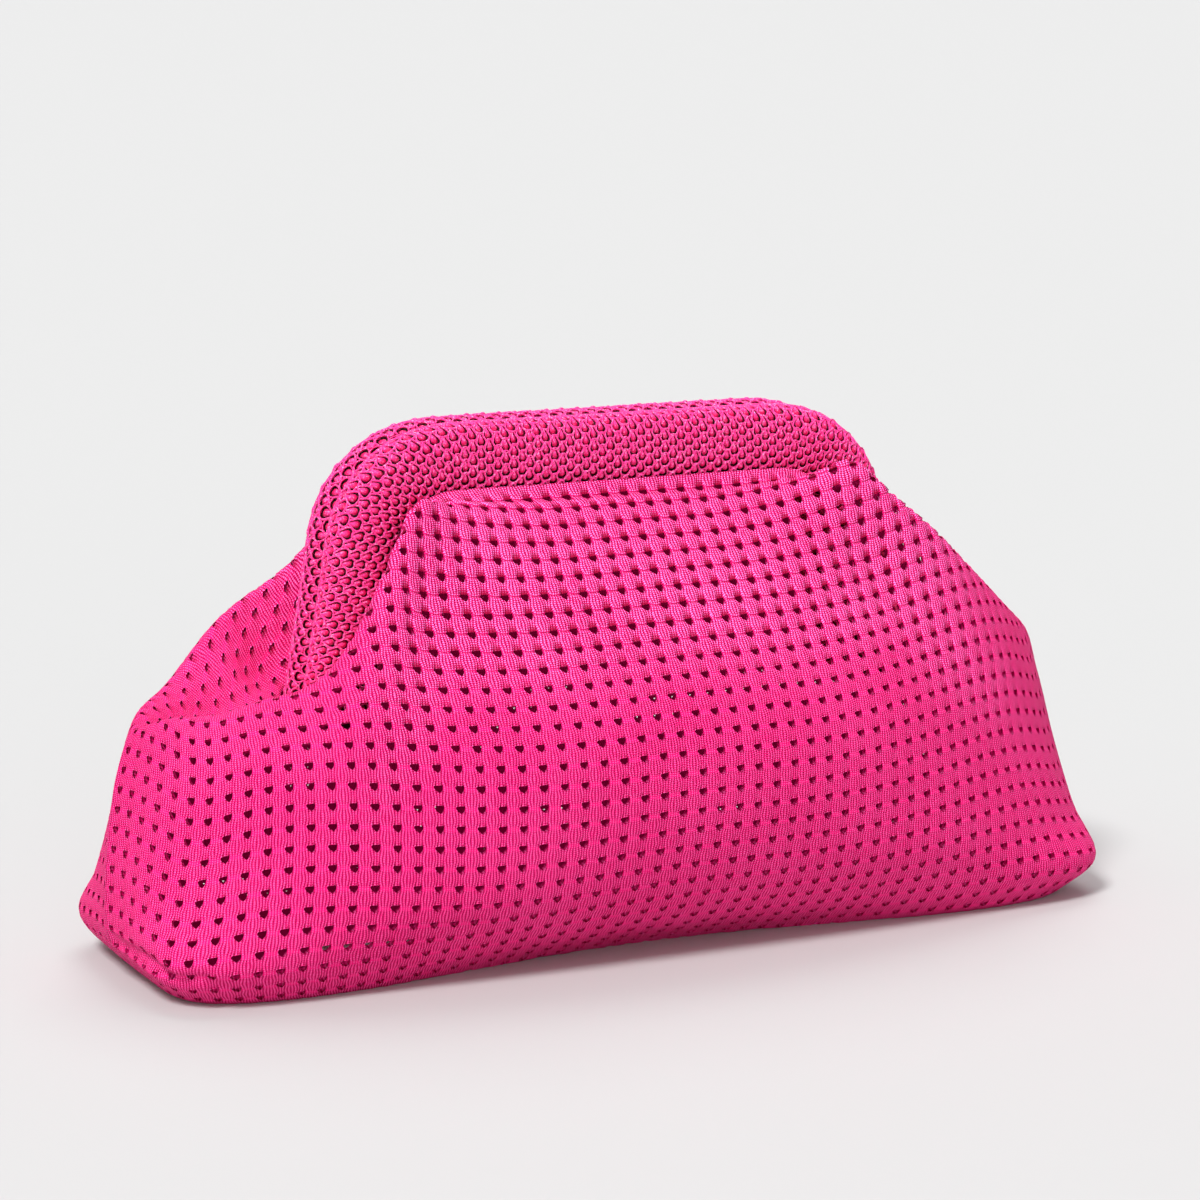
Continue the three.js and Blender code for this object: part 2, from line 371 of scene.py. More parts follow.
@dataclass(frozen=True)
class Sag:
    """A stretch of fold that has sunk, in the quarter given by two signs."""

    right: int
    back: int
    across: float
    spread: float
    drop: float


@dataclass
class MouthArch:
    """The line of the two rolls, given by its outer edge seen from the front, and one roll's section."""

    top: float = 184.5
    radius: float = 45.0
    corner_across: float = 63.5
    foot_across: float = 117.0
    foot_up: float = 91.0
    roll_height: float = 24.5
    roll_depth: float = 15.4
    gap: float = 0.6
    squareness: float = 2.6
    corner_points: int = 24

    @property
    def corner_up(self) -> float:
        """Height where the legs turn into the corners."""
        return self.top - self.radius

    @property
    def roll_centre(self) -> float:
        """Distance of a roll's middle from the slit."""
        return self.roll_depth / 2 + self.gap

    def line(self, inset: float, foot_up: float, step: float) -> np.ndarray:
        """Return the arch as points across and up.

        Args:
            inset: Distance in from the outer edge.
            foot_up: Height of the feet.
            step: Distance between points.

        Returns:
            Points from the left foot over the top to the right foot.
        """
        radius = self.radius - inset
        splay = (self.foot_across - self.corner_across - self.radius) / (self.corner_up - self.foot_up)
        foot = self.foot_across - inset + (self.foot_up - foot_up) * splay
        turn = np.linspace(0, math.pi / 2, self.corner_points)
        corner = radius * np.stack([np.cos(turn), np.sin(turn)], 1) + [self.corner_across, self.corner_up]
        right = np.concatenate([[[foot, foot_up]], corner])
        whole = np.concatenate([right * [-1, 1], right[::-1]])
        total = lengths_along(whole)[-1]
        return points_at(whole, np.linspace(0, total, int(total / step)))


@dataclass
class PouchShape:
    """The soft form of the pouch, worked out from sections, folds and seams."""

    arch: MouthArch
    sections: tuple[Section, ...] = (
        Section(0, 174, 35, 17, 6.0, 0),
        Section(14, 185, 57, 4, 7.0, 1),
        Section(32, 184, 71, 0, 3.2, 3),
        Section(60, 180, 79, 0, 2.2, 4),
        Section(88, 174, 74, 0, 2.05, 4),
        Section(110, 170, 60, 0, 2.3, 0),
        Section(138, 168, 37, 0, 2.4, 0),
        Section(164, 166, 18, 0, 2.4, 0),
    )
    fold: tuple[Stand, ...] = (
        Stand(0, 23.5, 155), Stand(40, 23.5, 155.5), Stand(70, 25.5, 160.5), Stand(84, 30, 166),
        Stand(98, 34, 154), Stand(115, 35, 140), Stand(133, 30, 124.5), Stand(153, 22, 108),
        Stand(168, 13, 96.5), Stand(176, 0, 87.5),
    )
    sags: tuple[Sag, ...] = (
        Sag(-1, -1, 120, 27, 29.5), Sag(-1, -1, 154, 16, 8.5),
        Sag(-1, 1, 106, 27, 15.5), Sag(-1, 1, 155, 20, 8.5),
    )
    seam_foot: tuple[Stand, ...] = (
        Stand(96, 17, 109), Stand(103, 18, 100), Stand(113, 17.5, 94), Stand(119.5, 9, 90.5),
        Stand(121, 0, 89.5),
    )
    valley: tuple[Stand, ...] = (Stand(121, 0, 89.5), Stand(142, 0, 86.5), Stand(160, 0, 84.5))
    corner_reach: float = 0.9
    ridge_spread: float = 9.0
    seam_turn: float = 0.5
    seam_share: float = 0.75
    low_heights: tuple[float, ...] = (0, 14, 32)
    high_shares: tuple[float, ...] = (0.36, 0.74)
    lip_share: float = 0.24
    wall_share: float = 0.6
    valley_droop: float = 5.0
    wall_reach: float = 30.0
    base_spine: float = 122.0
    quarter_knit: float = 221.0
    end_gather: float = 4.5
    belly_height: float = 80.0
    per_span: int = 16
    per_stand: int = 40
    seam_corner_points: int = 11

    def sizes_at(self, heights: np.ndarray) -> np.ndarray:
        """Read the section table as smooth curves through its rows.

        Args:
            heights: Heights to read it at.

        Returns:
            A row of the table's columns for each height.
        """
        rows = np.array([astuple(row) for row in self.sections], float)
        last = len(rows) - 1
        below = rows[np.maximum(np.arange(last + 1) - 1, 0)]
        above = rows[np.minimum(np.arange(last + 1) + 1, last)]
        slopes = (above - below) / (above[:, :1] - below[:, :1])
        low = np.clip(np.searchsorted(rows[:, 0], heights, side="left") - 1, 0, last - 1)
        span = rows[low + 1, :1] - rows[low, :1]
        t = (heights[:, None] - rows[low, :1]) / span
        rise = rows[low + 1] - rows[low]
        leave, arrive = slopes[low] * span, slopes[low + 1] * span
        return rows[low] + t * (leave + t * (3 * rise - 2 * leave - arrive + t * (leave + arrive - 2 * rise)))

    def section_points(self, heights: np.ndarray, shares: np.ndarray, samples: int = 91) -> np.ndarray:
        """Find points on horizontal sections by their share of the knit from front middle to end middle.

        The knit lies evenly over the face, and the end takes up what a section has more or less than it.

        Args:
            heights: Height of each point's section.
            shares: Share of the quarter's knit for each point.
            samples: Points that a section's length is measured with.

        Returns:
            One point for each pair, in the positive quarter.
        """
        sizes = self.sizes_at(heights)[:, 1:, None]

        def outline(turn: np.ndarray) -> tuple[np.ndarray, np.ndarray]:
            """Follow the sections round the quarter.

            Args:
                turn: Shares of a quarter turn.

            Returns:
                Distances across and depths.
            """
            length, deep, corner, power, ridge = (sizes[:, column] for column in range(5))
            sin, cos = np.sin(turn * math.pi / 2), np.cos(turn * math.pi / 2)
            reach = (np.abs(sin) ** power + np.abs(cos) ** power) ** (-1 / power)
            to_corner = np.minimum(reach * sin / self.corner_reach, 1)
            depth = (deep + corner * np.sin(to_corner * math.pi / 2) ** 2) * reach * cos
            return length * reach * sin + ridge * np.exp(-depth / self.ridge_spread), depth

        turns = np.linspace(0, 1, samples)
        across, depth = outline(np.broadcast_to(turns, (len(heights), samples)))
        lengths = lengths_along(np.stack([across, depth], axis=-1))
        spare = lengths[:, -1] - self.quarter_knit
        places = shares * self.quarter_knit + spare * shares ** self.end_gather
        found = [np.interp(place, row, turns) for place, row in zip(places, lengths)]
        across, depth = outline(np.array(found)[:, None])
        return np.stack([across[:, 0], depth[:, 0], heights], axis=1)

    def curve(self, stands: Sequence[Stand]) -> np.ndarray:
        """Return a fine polyline through stands."""
        knots = np.array([astuple(stand) for stand in stands], float)
        return catmull_rom(knots[None], self.per_stand)[0]

    def seam(self) -> np.ndarray:
        """Work out the mouth seam of one quarter: under the roll, then round its foot to the hinge.

        Returns:
            A fine polyline from the middle of the bag.
        """
        arch = self.arch
        reach = (arch.roll_depth / 2 + arch.gap, arch.roll_height / 2 + arch.gap)
        deep, inward = squared_oval(np.array(self.seam_turn * math.pi / 2), *reach, arch.squareness)
        radius = arch.radius - arch.roll_height / 2 - inward
        depth = arch.roll_centre + deep
        turn = np.linspace(math.pi / 2, 0, self.seam_corner_points)
        across = arch.corner_across + radius * np.cos(turn)
        up = arch.corner_up + radius * np.sin(turn)
        corner = [Stand(x, depth, z) for x, z in zip(across, up)]
        middle = Stand(0, depth, up[0])
        between = Stand(arch.corner_across / 2, depth, up[0])
        return self.curve([middle, between, *corner, *self.seam_foot])

    def knit_ends(self, shares: np.ndarray) -> np.ndarray:
        """Find where the knit ends: on the mouth seam, then along the valley.

        Args:
            shares: Share of the way round the quarter for each end.

        Returns:
            One point for each share.
        """
        seam, valley = self.seam(), self.curve(self.valley)
        on_seam = points_at(seam, np.minimum(shares / self.seam_share, 1) * lengths_along(seam)[-1])
        past = np.maximum(shares - self.seam_share, 0) / (1 - self.seam_share)
        on_valley = points_at(valley, past * lengths_along(valley)[-1])
        return np.where(shares[:, None] <= self.seam_share, on_seam, on_valley)

    def folds(self, shares: np.ndarray, right: np.ndarray, back: int) -> np.ndarray:
        """Find points of the fold line, with its sags.

        Args:
            shares: Share of the fold line for each point.
            right: Sign of X for each point.
            back: Sign of Y.

        Returns:
            One point for each share, in the positive quarter.
        """
        line = self.curve(self.fold)
        fold = points_at(line, shares * lengths_along(line)[-1])
        for sag in self.sags:
            if sag.back == back:
                drop = sag.drop * np.exp(-(((fold[:, 0] - sag.across) / sag.spread) ** 2))
                fold[:, 2] -= np.where(right == sag.right, drop, 0)
        return fold

    def fold_shares(self, shares: np.ndarray) -> np.ndarray:
        """Find the shares of the fold line that lie straight above the knit on the belly.

        Args:
            shares: Shares of the quarter's knit.

        Returns:
            One share of the fold line for each of them.
        """
        ends = np.append(shares, 1.0)
        across = self.section_points(np.full(len(ends), self.belly_height), ends)[:, 0]
        line = self.curve(self.fold)
        lengths = lengths_along(line)
        return np.interp(across[:-1] / across[-1] * line[-1, 0], line[:, 0], lengths / lengths[-1])

    def uprights(
        self, shares: np.ndarray, right: np.ndarray, back: int,
    ) -> tuple[np.ndarray, np.ndarray, np.ndarray]:
        """Run lines of knit from the middle of the base, up the side and over the fold to their ends.

        Args:
            shares: Share of the way round the quarter for each line.
            right: Sign of X for each line.
            back: Sign of Y.

        Returns:
            The lines' points, the length from the ground edge to each, negative on the base, and the length
            to each line's fold.
        """
        high = self.fold_shares(shares)
        fold = self.folds(high, right, back)
        lowest = self.low_heights[-1]
        heights = [np.full(len(shares), float(height)) for height in self.low_heights]
        heights += [lowest + part * (fold[:, 2] - lowest) for part in self.high_shares]
        knots = [self.section_points(height, shares) for height in heights]
        end = self.knit_ends(high)
        slack = np.minimum(np.linalg.norm(fold - end, axis=1) / self.wall_reach, 1)
        lip = fold + (end - fold) * self.lip_share
        wall = fold + (end - fold) * self.wall_share
        wall[:, 2] -= self.valley_droop * slack
        sides = catmull_rom(np.stack([*knots, fold, lip, wall, end], axis=1), self.per_span)
        middle = np.stack([shares * self.base_spine, np.zeros_like(shares), np.zeros_like(shares)], axis=1)
        inward = np.linspace(0, 1, self.per_span, endpoint=False)[None, :, None]
        base = middle[:, None] + inward * (sides[:, :1] - middle[:, None])
        lines = np.concatenate([base, sides], axis=1)
        lengths = lengths_along(lines)
        lengths = lengths - lengths[:, self.per_span:self.per_span + 1]
        at_fold = lengths[:, self.per_span * (1 + len(knots))]
        lines = lines * np.stack([right, np.full_like(right, back), np.ones_like(right)], axis=1)[:, None]
        return lines, lengths, at_fold


@dataclass(frozen=True)
class CourseRelief:
    """How far one level of the eyelet repeat stands out, from between two eyelets to an eyelet's middle."""

    level: float
    between: float
    edge: float
    tongue_side: float
    tongue: float


@dataclass(frozen=True)
class EyeletCell:
    """One repeat of the eyelet knit, as shares of its width and height, with its relief in millimetres.

    Each eyelet lies under a tongue of knit that sinks towards it between two raised blocks, and a groove runs
    from eyelet to eyelet.
    """

    across: tuple[float, ...] = (0.0, 0.25, 0.36, 0.5, 0.64, 0.75)
    courses: tuple[CourseRelief, ...] = (
        CourseRelief(0.00, 0.30, 0.28, 0.10, 0.00),
        CourseRelief(0.11, 0.34, 0.26, -0.15, -0.25),
        CourseRelief(0.21, 0.42, 0.20, -0.40, -0.40),
        CourseRelief(0.31, -0.20, -0.20, -0.55, -0.55),
        CourseRelief(0.41, 0.65, 0.55, -0.70, -0.80),
        CourseRelief(0.66, 0.43, 0.38, -0.45, -0.55),
    )
    hole_middle: tuple[float, float] = (0.5, 0.28)
    hole_rim: tuple[tuple[float, float], ...] = (
        (-0.05, -0.14), (0.03, -0.20), (0.11, -0.14), (0.17, -0.04), (0.20, 0.08),
        (0.19, 0.19), (0.0, 0.17), (-0.19, 0.16), (-0.23, 0.07), (-0.16, -0.05),
    )
    rim_places: tuple[tuple[int, int], ...] = (
        (2, 1), (3, 1), (4, 1), (4, 2), (4, 3), (4, 4), (3, 4), (2, 4), (2, 3), (2, 2),
    )
    inner_places: tuple[tuple[int, int], ...] = (
        (0, 0), (3, 0), (6, 0), (6, 2), (6, 4), (6, 6), (3, 6), (0, 6), (0, 4), (0, 2),
    )
    inner_middle: tuple[int, int] = (3, 4)
    hole_columns: tuple[int, ...] = (2, 3)
    hole_levels: tuple[int, ...] = (1, 2, 3)

    @property
    def up(self) -> tuple[float, ...]:
        """Levels of the repeat's grid."""
        return tuple(course.level for course in self.courses)

    @property
    def size(self) -> tuple[int, int]:
        """Grid steps across and up one repeat."""
        return len(self.across), len(self.courses)

    def relief(self) -> np.ndarray:
        """Return how far the knit stands out at each grid point across and up a repeat."""
        rows = [(c.between, c.edge, c.tongue_side, c.tongue, c.tongue_side, c.edge) for c in self.courses]
        return np.array(rows).T


@dataclass(frozen=True)
class Crease:
    """A fold pressed into one panel: the points it runs through, its reach to each side and its depth."""

    line: tuple[tuple[float, float, float], ...]
    reach: float
    depth: float
    per_span: int = 6

    def press(self, points: np.ndarray) -> np.ndarray:
        """Work out how far points are pressed in, least at the crease's two ends.

        Args:
            points: Rows of coordinates.

        Returns:
            One depth for each point.
        """
        run = catmull_rom(np.array([self.line], float), self.per_span)[0]
        away = np.linalg.norm(points[:, None] - run, axis=2)
        taper = np.sqrt(np.sin(np.pi * np.linspace(0, 1, len(run))))
        return (self.depth * taper * np.exp(-((away / self.reach) ** 2))).max(1)


@dataclass
class KnitPanel:
    """One half of the pouch: a panel of eyelet knit from the middle of the base to the mouth seam."""

    side: Side
    shape: PouchShape
    inner_hole: float
    creases: tuple[Crease, ...]
    cell: EyeletCell = field(default_factory=EyeletCell)
    columns: int = 61
    row_height: float = 6.8
    row_lift: float = 4.7
    row_bow: float = 10.0
    bow_reach: float = 9.0
    first_row: int = -9
    rows: int = 39
    plain_rows: int = 8
    wall: float = 2.2
    flat_relief: float = 0.15
    deep_reach: float = 40.0
    flat_reach: float = 85.0
    tight_fold: float = 125.0
    loose_fold: float = 170.0
    jitter: float = 0.08
    slack_opening: float = 0.15
    closed_height: float = 0.5
    short_wall: float = 14.0
    long_wall: float = 30.0
    seed: int = 7

    def build(self) -> bpy.types.Object:
        """Build the panel's mesh with its open eyelets, its inner face and its edges.

        Returns:
            The panel, not yet dressed.
        """
        cell, (wide, high) = self.cell, self.cell.size
        across = (np.arange(self.columns)[:, None] + np.array(cell.across)).ravel()
        across = np.append(across, self.columns) - self.columns / 2
        up = (np.arange(self.rows)[:, None] + np.array(cell.up)).ravel()
        up = np.append(up, self.rows) + self.first_row
        bow = self.row_lift - self.row_bow * (1 - np.exp(-((across / self.bow_reach) ** 2)))
        level_at = up * self.row_height + bow[:, None]
        sign = np.where(across < 0, -1.0, 1.0) * -self.side.value
        shares = 2 * np.abs(across) / self.columns
        lines, lengths, at_fold = self.shape.uprights(shares, sign, self.side.value)
        start, stop = lengths[:, 0], lengths[:, -1]

        first = np.maximum((level_at <= start[:, None]).sum(1) - 1, 0)
        last = np.minimum((level_at < stop[:, None]).sum(1), len(up) - 1)
        kept = np.clip(np.arange(len(up))[None], first[:, None], last[:, None])
        kept = np.where(kept < self.plain_rows * high, kept // high * high, kept)
        numbers = np.arange(len(across))[:, None] * len(up) + kept
        column_at, row_at = np.arange(self.columns) * wide, np.arange(self.rows) * high
        whole = self.whole_cells(np.maximum(first, self.plain_rows * high), last, column_at, row_at)
        middle = column_at + wide // 2
        below_fold = (at_fold[:, None] - level_at)[np.ix_(middle, row_at)]
        openness = self.openness(below_fold, at_fold[middle], stop[middle])

        places = level_at.copy()
        shift = np.zeros_like(places)
        relief = np.zeros_like(places)
        for (i, j), (across_to, up_to) in zip(cell.rim_places, cell.hole_rim):
            at = np.ix_(column_at + i, row_at + j)
            aside = cell.hole_middle[0] + across_to * openness[..., 0] - cell.across[i]
            above = cell.hole_middle[1] + up_to * openness[..., 1] - cell.up[j]
            shift[at] = np.where(whole, aside, 0)
            places[at] += np.where(whole, above * self.row_height, 0)
        for (i, j), height in np.ndenumerate(cell.relief()):
            relief[np.ix_(column_at + i, row_at + j)] = height * whole
        slack = self.slack(at_fold[:, None] - places, at_fold)
        relief *= slack

        clamped = np.clip(places, start[:, None], stop[:, None])
        points = np.stack([points_at(*line) for line in zip(lines, clamped, lengths)])
        points = points + shift[..., None] * np.gradient(points, across, axis=0)
        quads = np.stack([numbers[:-1, :-1], numbers[1:, :-1], numbers[1:, 1:], numbers[:-1, 1:]], -1)
        flat = points.reshape(-1, 3)
        normals = point_normals(flat, quads.reshape(-1, 4))
        for crease in self.creases:
            flat = flat - normals * crease.press(flat)[:, None]
        outer = flat + normals * relief.reshape(-1, 1)
        outer[:, 2] = np.maximum(outer[:, 2], 0)
        inner = self.inner_points(flat - normals * self.wall, numbers, whole)
        rows = (clamped - bow[:, None]) / self.row_height
        knit = np.stack([across[:, None] + self.columns / 2 + shift, rows], -1).reshape(-1, 2)

        piece = MeshPiece(f"{self.side.name.lower()}_panel")
        piece.add_points(outer, knit=knit, inside=0.0, slack=slack.ravel())
        within = piece.add_points(inner, knit=knit, inside=1.0, slack=slack.ravel())[0]
        self.add_outer_faces(piece, quads, whole)
        self.add_inner_faces(piece, numbers, within, whole)
        self.add_rims(piece, numbers, within, whole)
        self.add_edges(piece, numbers, within)
        return piece.make(uv="knit")

    def whole_cells(
        self, first: np.ndarray, last: np.ndarray, column_at: np.ndarray, row_at: np.ndarray,
    ) -> np.ndarray:
        """Find the repeats that lie wholly on the panel, and so get an eyelet.

        Args:
            first: First grid level of every grid line.
            last: Last grid level of every grid line.
            column_at: First grid line of each column of repeats.
            row_at: First grid level of each row of repeats.

        Returns:
            A truth value for each column and row.
        """
        wide, high = self.cell.size
        spread = column_at[:, None] + np.arange(wide + 1)
        low, top = first[spread].max(1), last[spread].min(1)
        return (row_at[None] >= low[:, None]) & (row_at[None] + high <= top[:, None])

    def slack(self, below_fold: np.ndarray, at_fold: np.ndarray) -> np.ndarray:
        """Return how deep the relief is: full where the knit hangs under a high fold, flat where it pulls.

        Args:
            below_fold: Length from each place up to the fold, negative past it.
            at_fold: Length from the ground edge to the fold for each column.

        Returns:
            A share of the full relief for each place.
        """
        near = np.clip((self.flat_reach - below_fold) / (self.flat_reach - self.deep_reach), 0, 1)
        loose = np.clip((at_fold - self.tight_fold) / (self.loose_fold - self.tight_fold), 0, 1)[:, None]
        return self.flat_relief + (1 - self.flat_relief) * near * near * (3 - 2 * near) * loose

    def openness(self, below_fold: np.ndarray, at_fold: np.ndarray, stop: np.ndarray) -> np.ndarray:
        """Find how wide and high each eyelet stands open: unevenly, and closing on a long wall past the fold.

        Args:
            below_fold: Length from each repeat up to the fold, negative past it.
            at_fold: Length from the ground edge to the fold for each column.
            stop: Length from the ground edge to the end of each column.

        Returns:
            Shares of the full width and height for each repeat.
        """
        uneven = np.random.default_rng(self.seed + self.side.value)
        share = 1 + self.jitter * uneven.uniform(-1, 1, (*below_fold.shape, 2))
        long_wall = np.clip((stop - at_fold - self.short_wall) / (self.long_wall - self.short_wall), 0, 1)
        shut = long_wall[:, None] * (below_fold < self.row_height / 2)
        share[..., 1] *= 1 - (1 - self.closed_height) * shut
        share[..., 1] *= 1 + self.slack_opening * self.slack(below_fold, at_fold)
        return share

    def inner_points(self, points: np.ndarray, numbers: np.ndarray, whole: np.ndarray) -> np.ndarray:
        """Widen or draw in each eyelet on the inner face.

        Args:
            points: The inner face's points.
            numbers: Point number at each place of the grid.
            whole: Which repeats have an eyelet.

        Returns:
            The points with the eyelets resized.
        """
        wide, high = self.cell.size
        column, row = np.nonzero(whole)
        rims = np.stack([numbers[column * wide + i, row * high + j] for i, j in self.cell.rim_places], 1)
        middle = points[rims].mean(1, keepdims=True)
        drawn = points.copy()
        drawn[rims] = middle + (points[rims] - middle) * self.inner_hole
        return drawn

    def add_outer_faces(self, piece: MeshPiece, quads: np.ndarray, whole: np.ndarray) -> None:
        """Add the outer face, left open inside each eyelet.

        Args:
            piece: Piece that holds the points.
            quads: Corners of each place of the grid.
            whole: Which repeats have an eyelet.
        """
        wide, high = self.cell.size
        keep = np.ones(quads.shape[:2], bool)
        for i in self.cell.hole_columns:
            for j in self.cell.hole_levels:
                keep[i::wide, j::high] &= ~whole
        piece.add_faces(quads[keep].tolist())

    def add_inner_faces(self, piece: MeshPiece, numbers: np.ndarray, within: int, whole: np.ndarray) -> None:
        """Add the inner face in coarse quads, round each eyelet where there is one.

        Args:
            piece: Piece that holds the points.
            numbers: Point number at each place of the grid.
            within: What an inner point's number has more than the outer one's.
            whole: Which repeats have an eyelet.
        """
        wide, high = self.cell.size
        for column, row in np.ndindex(whole.shape):
            near = numbers[column * wide:, row * high:] + within
            turns = ring_pairs([int(near[place]) for place in self.cell.inner_places])
            if whole[column, row]:
                rim = ring_pairs([int(near[place]) for place in self.cell.rim_places])
                piece.add_faces([b, a, c, d] for (a, b), (c, d) in zip(turns, rim))
            else:
                middle = int(near[self.cell.inner_middle])
                piece.add_faces([b, a, middle] for a, b in turns)

    def add_rims(self, piece: MeshPiece, numbers: np.ndarray, within: int, whole: np.ndarray) -> None:
        """Add the wall of each eyelet, from the outer face to the inner one.

        Args:
            piece: Piece that holds the points.
            numbers: Point number at each place of the grid.
            within: What an inner point's number has more than the outer one's.
            whole: Which repeats have an eyelet.
        """
        wide, high = self.cell.size
        for column, row in np.argwhere(whole):
            near = numbers[column * wide:, row * high:]
            rim = ring_pairs([int(near[place]) for place in self.cell.rim_places])
            piece.add_faces([b, a, a + within, b + within] for a, b in rim)

    def add_edges(self, piece: MeshPiece, numbers: np.ndarray, within: int) -> None:
        """Add the panel's cut edges, which join its outer face to its inner one all round.

        Args:
            piece: Piece that holds the points.
            numbers: Point number at each place of the grid.
            within: What an inner point's number has more than the outer one's.
        """
        wide, high = self.cell.size
        columns = sorted({i % wide for i, _ in self.cell.inner_places})
        levels = sorted({j % high for _, j in self.cell.inner_places})
        across = [n for n in range(len(numbers)) if n % wide in columns]
        up = [n for n in range(numbers.shape[1]) if n % high in levels]
        sides = (
            (numbers[:, 0], across, False), (numbers[-1], up, False),
            (numbers[:, -1], across, True), (numbers[0], up, True),
        )
        for side, stops, backwards in sides:
            for low, top in zip(stops, stops[1:]):
                run = [int(n) for n in side[low:top + 1]]
                face = [*run[::-1], run[0] + within, run[-1] + within]
                piece.add_faces([face[::-1] if backwards else face])


@dataclass(frozen=True)
class GrainRing:
    """One ring of a tuck stitch's grain: its place down the stitch, half width, height, and painted light and
    shade from 1, lit, to 0, shaded.
    """

    down: float
    half_width: float
    height: float
    tone: float


@dataclass(frozen=True)
class TuckStitch:
    """One tuck stitch: a ring of raised yarn round a pit, and the grain of slipped yarn that hangs in it."""

    # The grain's painted light and shade runs from lit at its top to dark at its lower end.
    grain: tuple[GrainRing, ...] = (
        GrainRing(-2.10, 0.45, 1.35, 1.00),
        GrainRing(-1.00, 0.90, 1.60, 0.84),
        GrainRing(0.10, 1.15, 1.40, 0.60),
        GrainRing(0.95, 0.85, 0.75, 0.28),
    )
    grain_tips: tuple[GrainRing, GrainRing] = (GrainRing(-2.8, 0, 1.1, 1.0), GrainRing(1.35, 0, 0.1, 0.03))
    lean: float = 0.12
    grain_base: float = 0.35
    grain_sides: int = 5
    strand: tuple[tuple[float, float, float], ...] = (
        (0.0, 2.2, 1.0), (1.35, 1.75, 1.0), (1.95, 0.8, 1.1), (1.7, -0.5, 1.15), (1.0, -1.7, 1.1),
        (0.4, -2.8, 1.0),
    )
    strand_half: tuple[float, float] = (0.45, 0.45)
    strand_sides: int = 3

    def build(self) -> bpy.types.Object:
        """Build the stitch flat: X along the roll, Y down over it, Z outwards.

        Returns:
            The stitch.
        """
        piece = MeshPiece("tuck_stitch")
        self.add_grain(piece)
        self.add_strand(piece)
        return piece.make()

    def add_grain(self, piece: MeshPiece) -> None:
        """Add the grain, narrow above and full below.

        Args:
            piece: Piece that takes it.
        """
        angles = ring_angles(self.grain_sides)
        rings = []
        for ring in self.grain:
            rise = ring.height * (self.grain_base + (1 - self.grain_base) * np.sin(angles))
            aside = ring.half_width * np.cos(angles) - self.lean * ring.down
            points = np.stack([aside, np.full_like(angles, ring.down), rise], 1)
            rings.append(piece.add_points(points, tone=ring.tone))
        ends = [np.array([[-self.lean * tip.down, tip.down, tip.height]]) for tip in self.grain_tips]
        tips = [piece.add_points(end, tone=tip.tone)[0] for end, tip in zip(ends, self.grain_tips)]
        add_skin(piece, rings, tips)

    def add_strand(self, piece: MeshPiece) -> None:
        """Add the strand as a closed loop of cord round the pit.

        Args:
            piece: Piece that takes it.
        """
        right = np.array(self.strand)
        path = np.concatenate([right, right[:0:-1] * [-1, 1, 1]])
        along = unit(np.roll(path, -1, 0) - np.roll(path, 1, 0))
        aside = unit(np.cross(along, [0, 0, 1]))
        lift = np.cross(aside, along)
        angles = ring_angles(self.strand_sides)
        wide, high = self.strand_half
        sideways, upwards = (wide * np.cos(angles))[:, None], (high * np.sin(angles))[:, None]
        turns = sideways * aside[:, None] + upwards * lift[:, None]
        # The strand takes full painted light.
        rings = [piece.add_points(points, tone=1.0) for points in path[:, None] + turns]
        for ring, after in ring_pairs(rings):
            piece.add_faces(np.stack([ring, np.roll(ring, -1), np.roll(after, -1), after], 1).tolist())


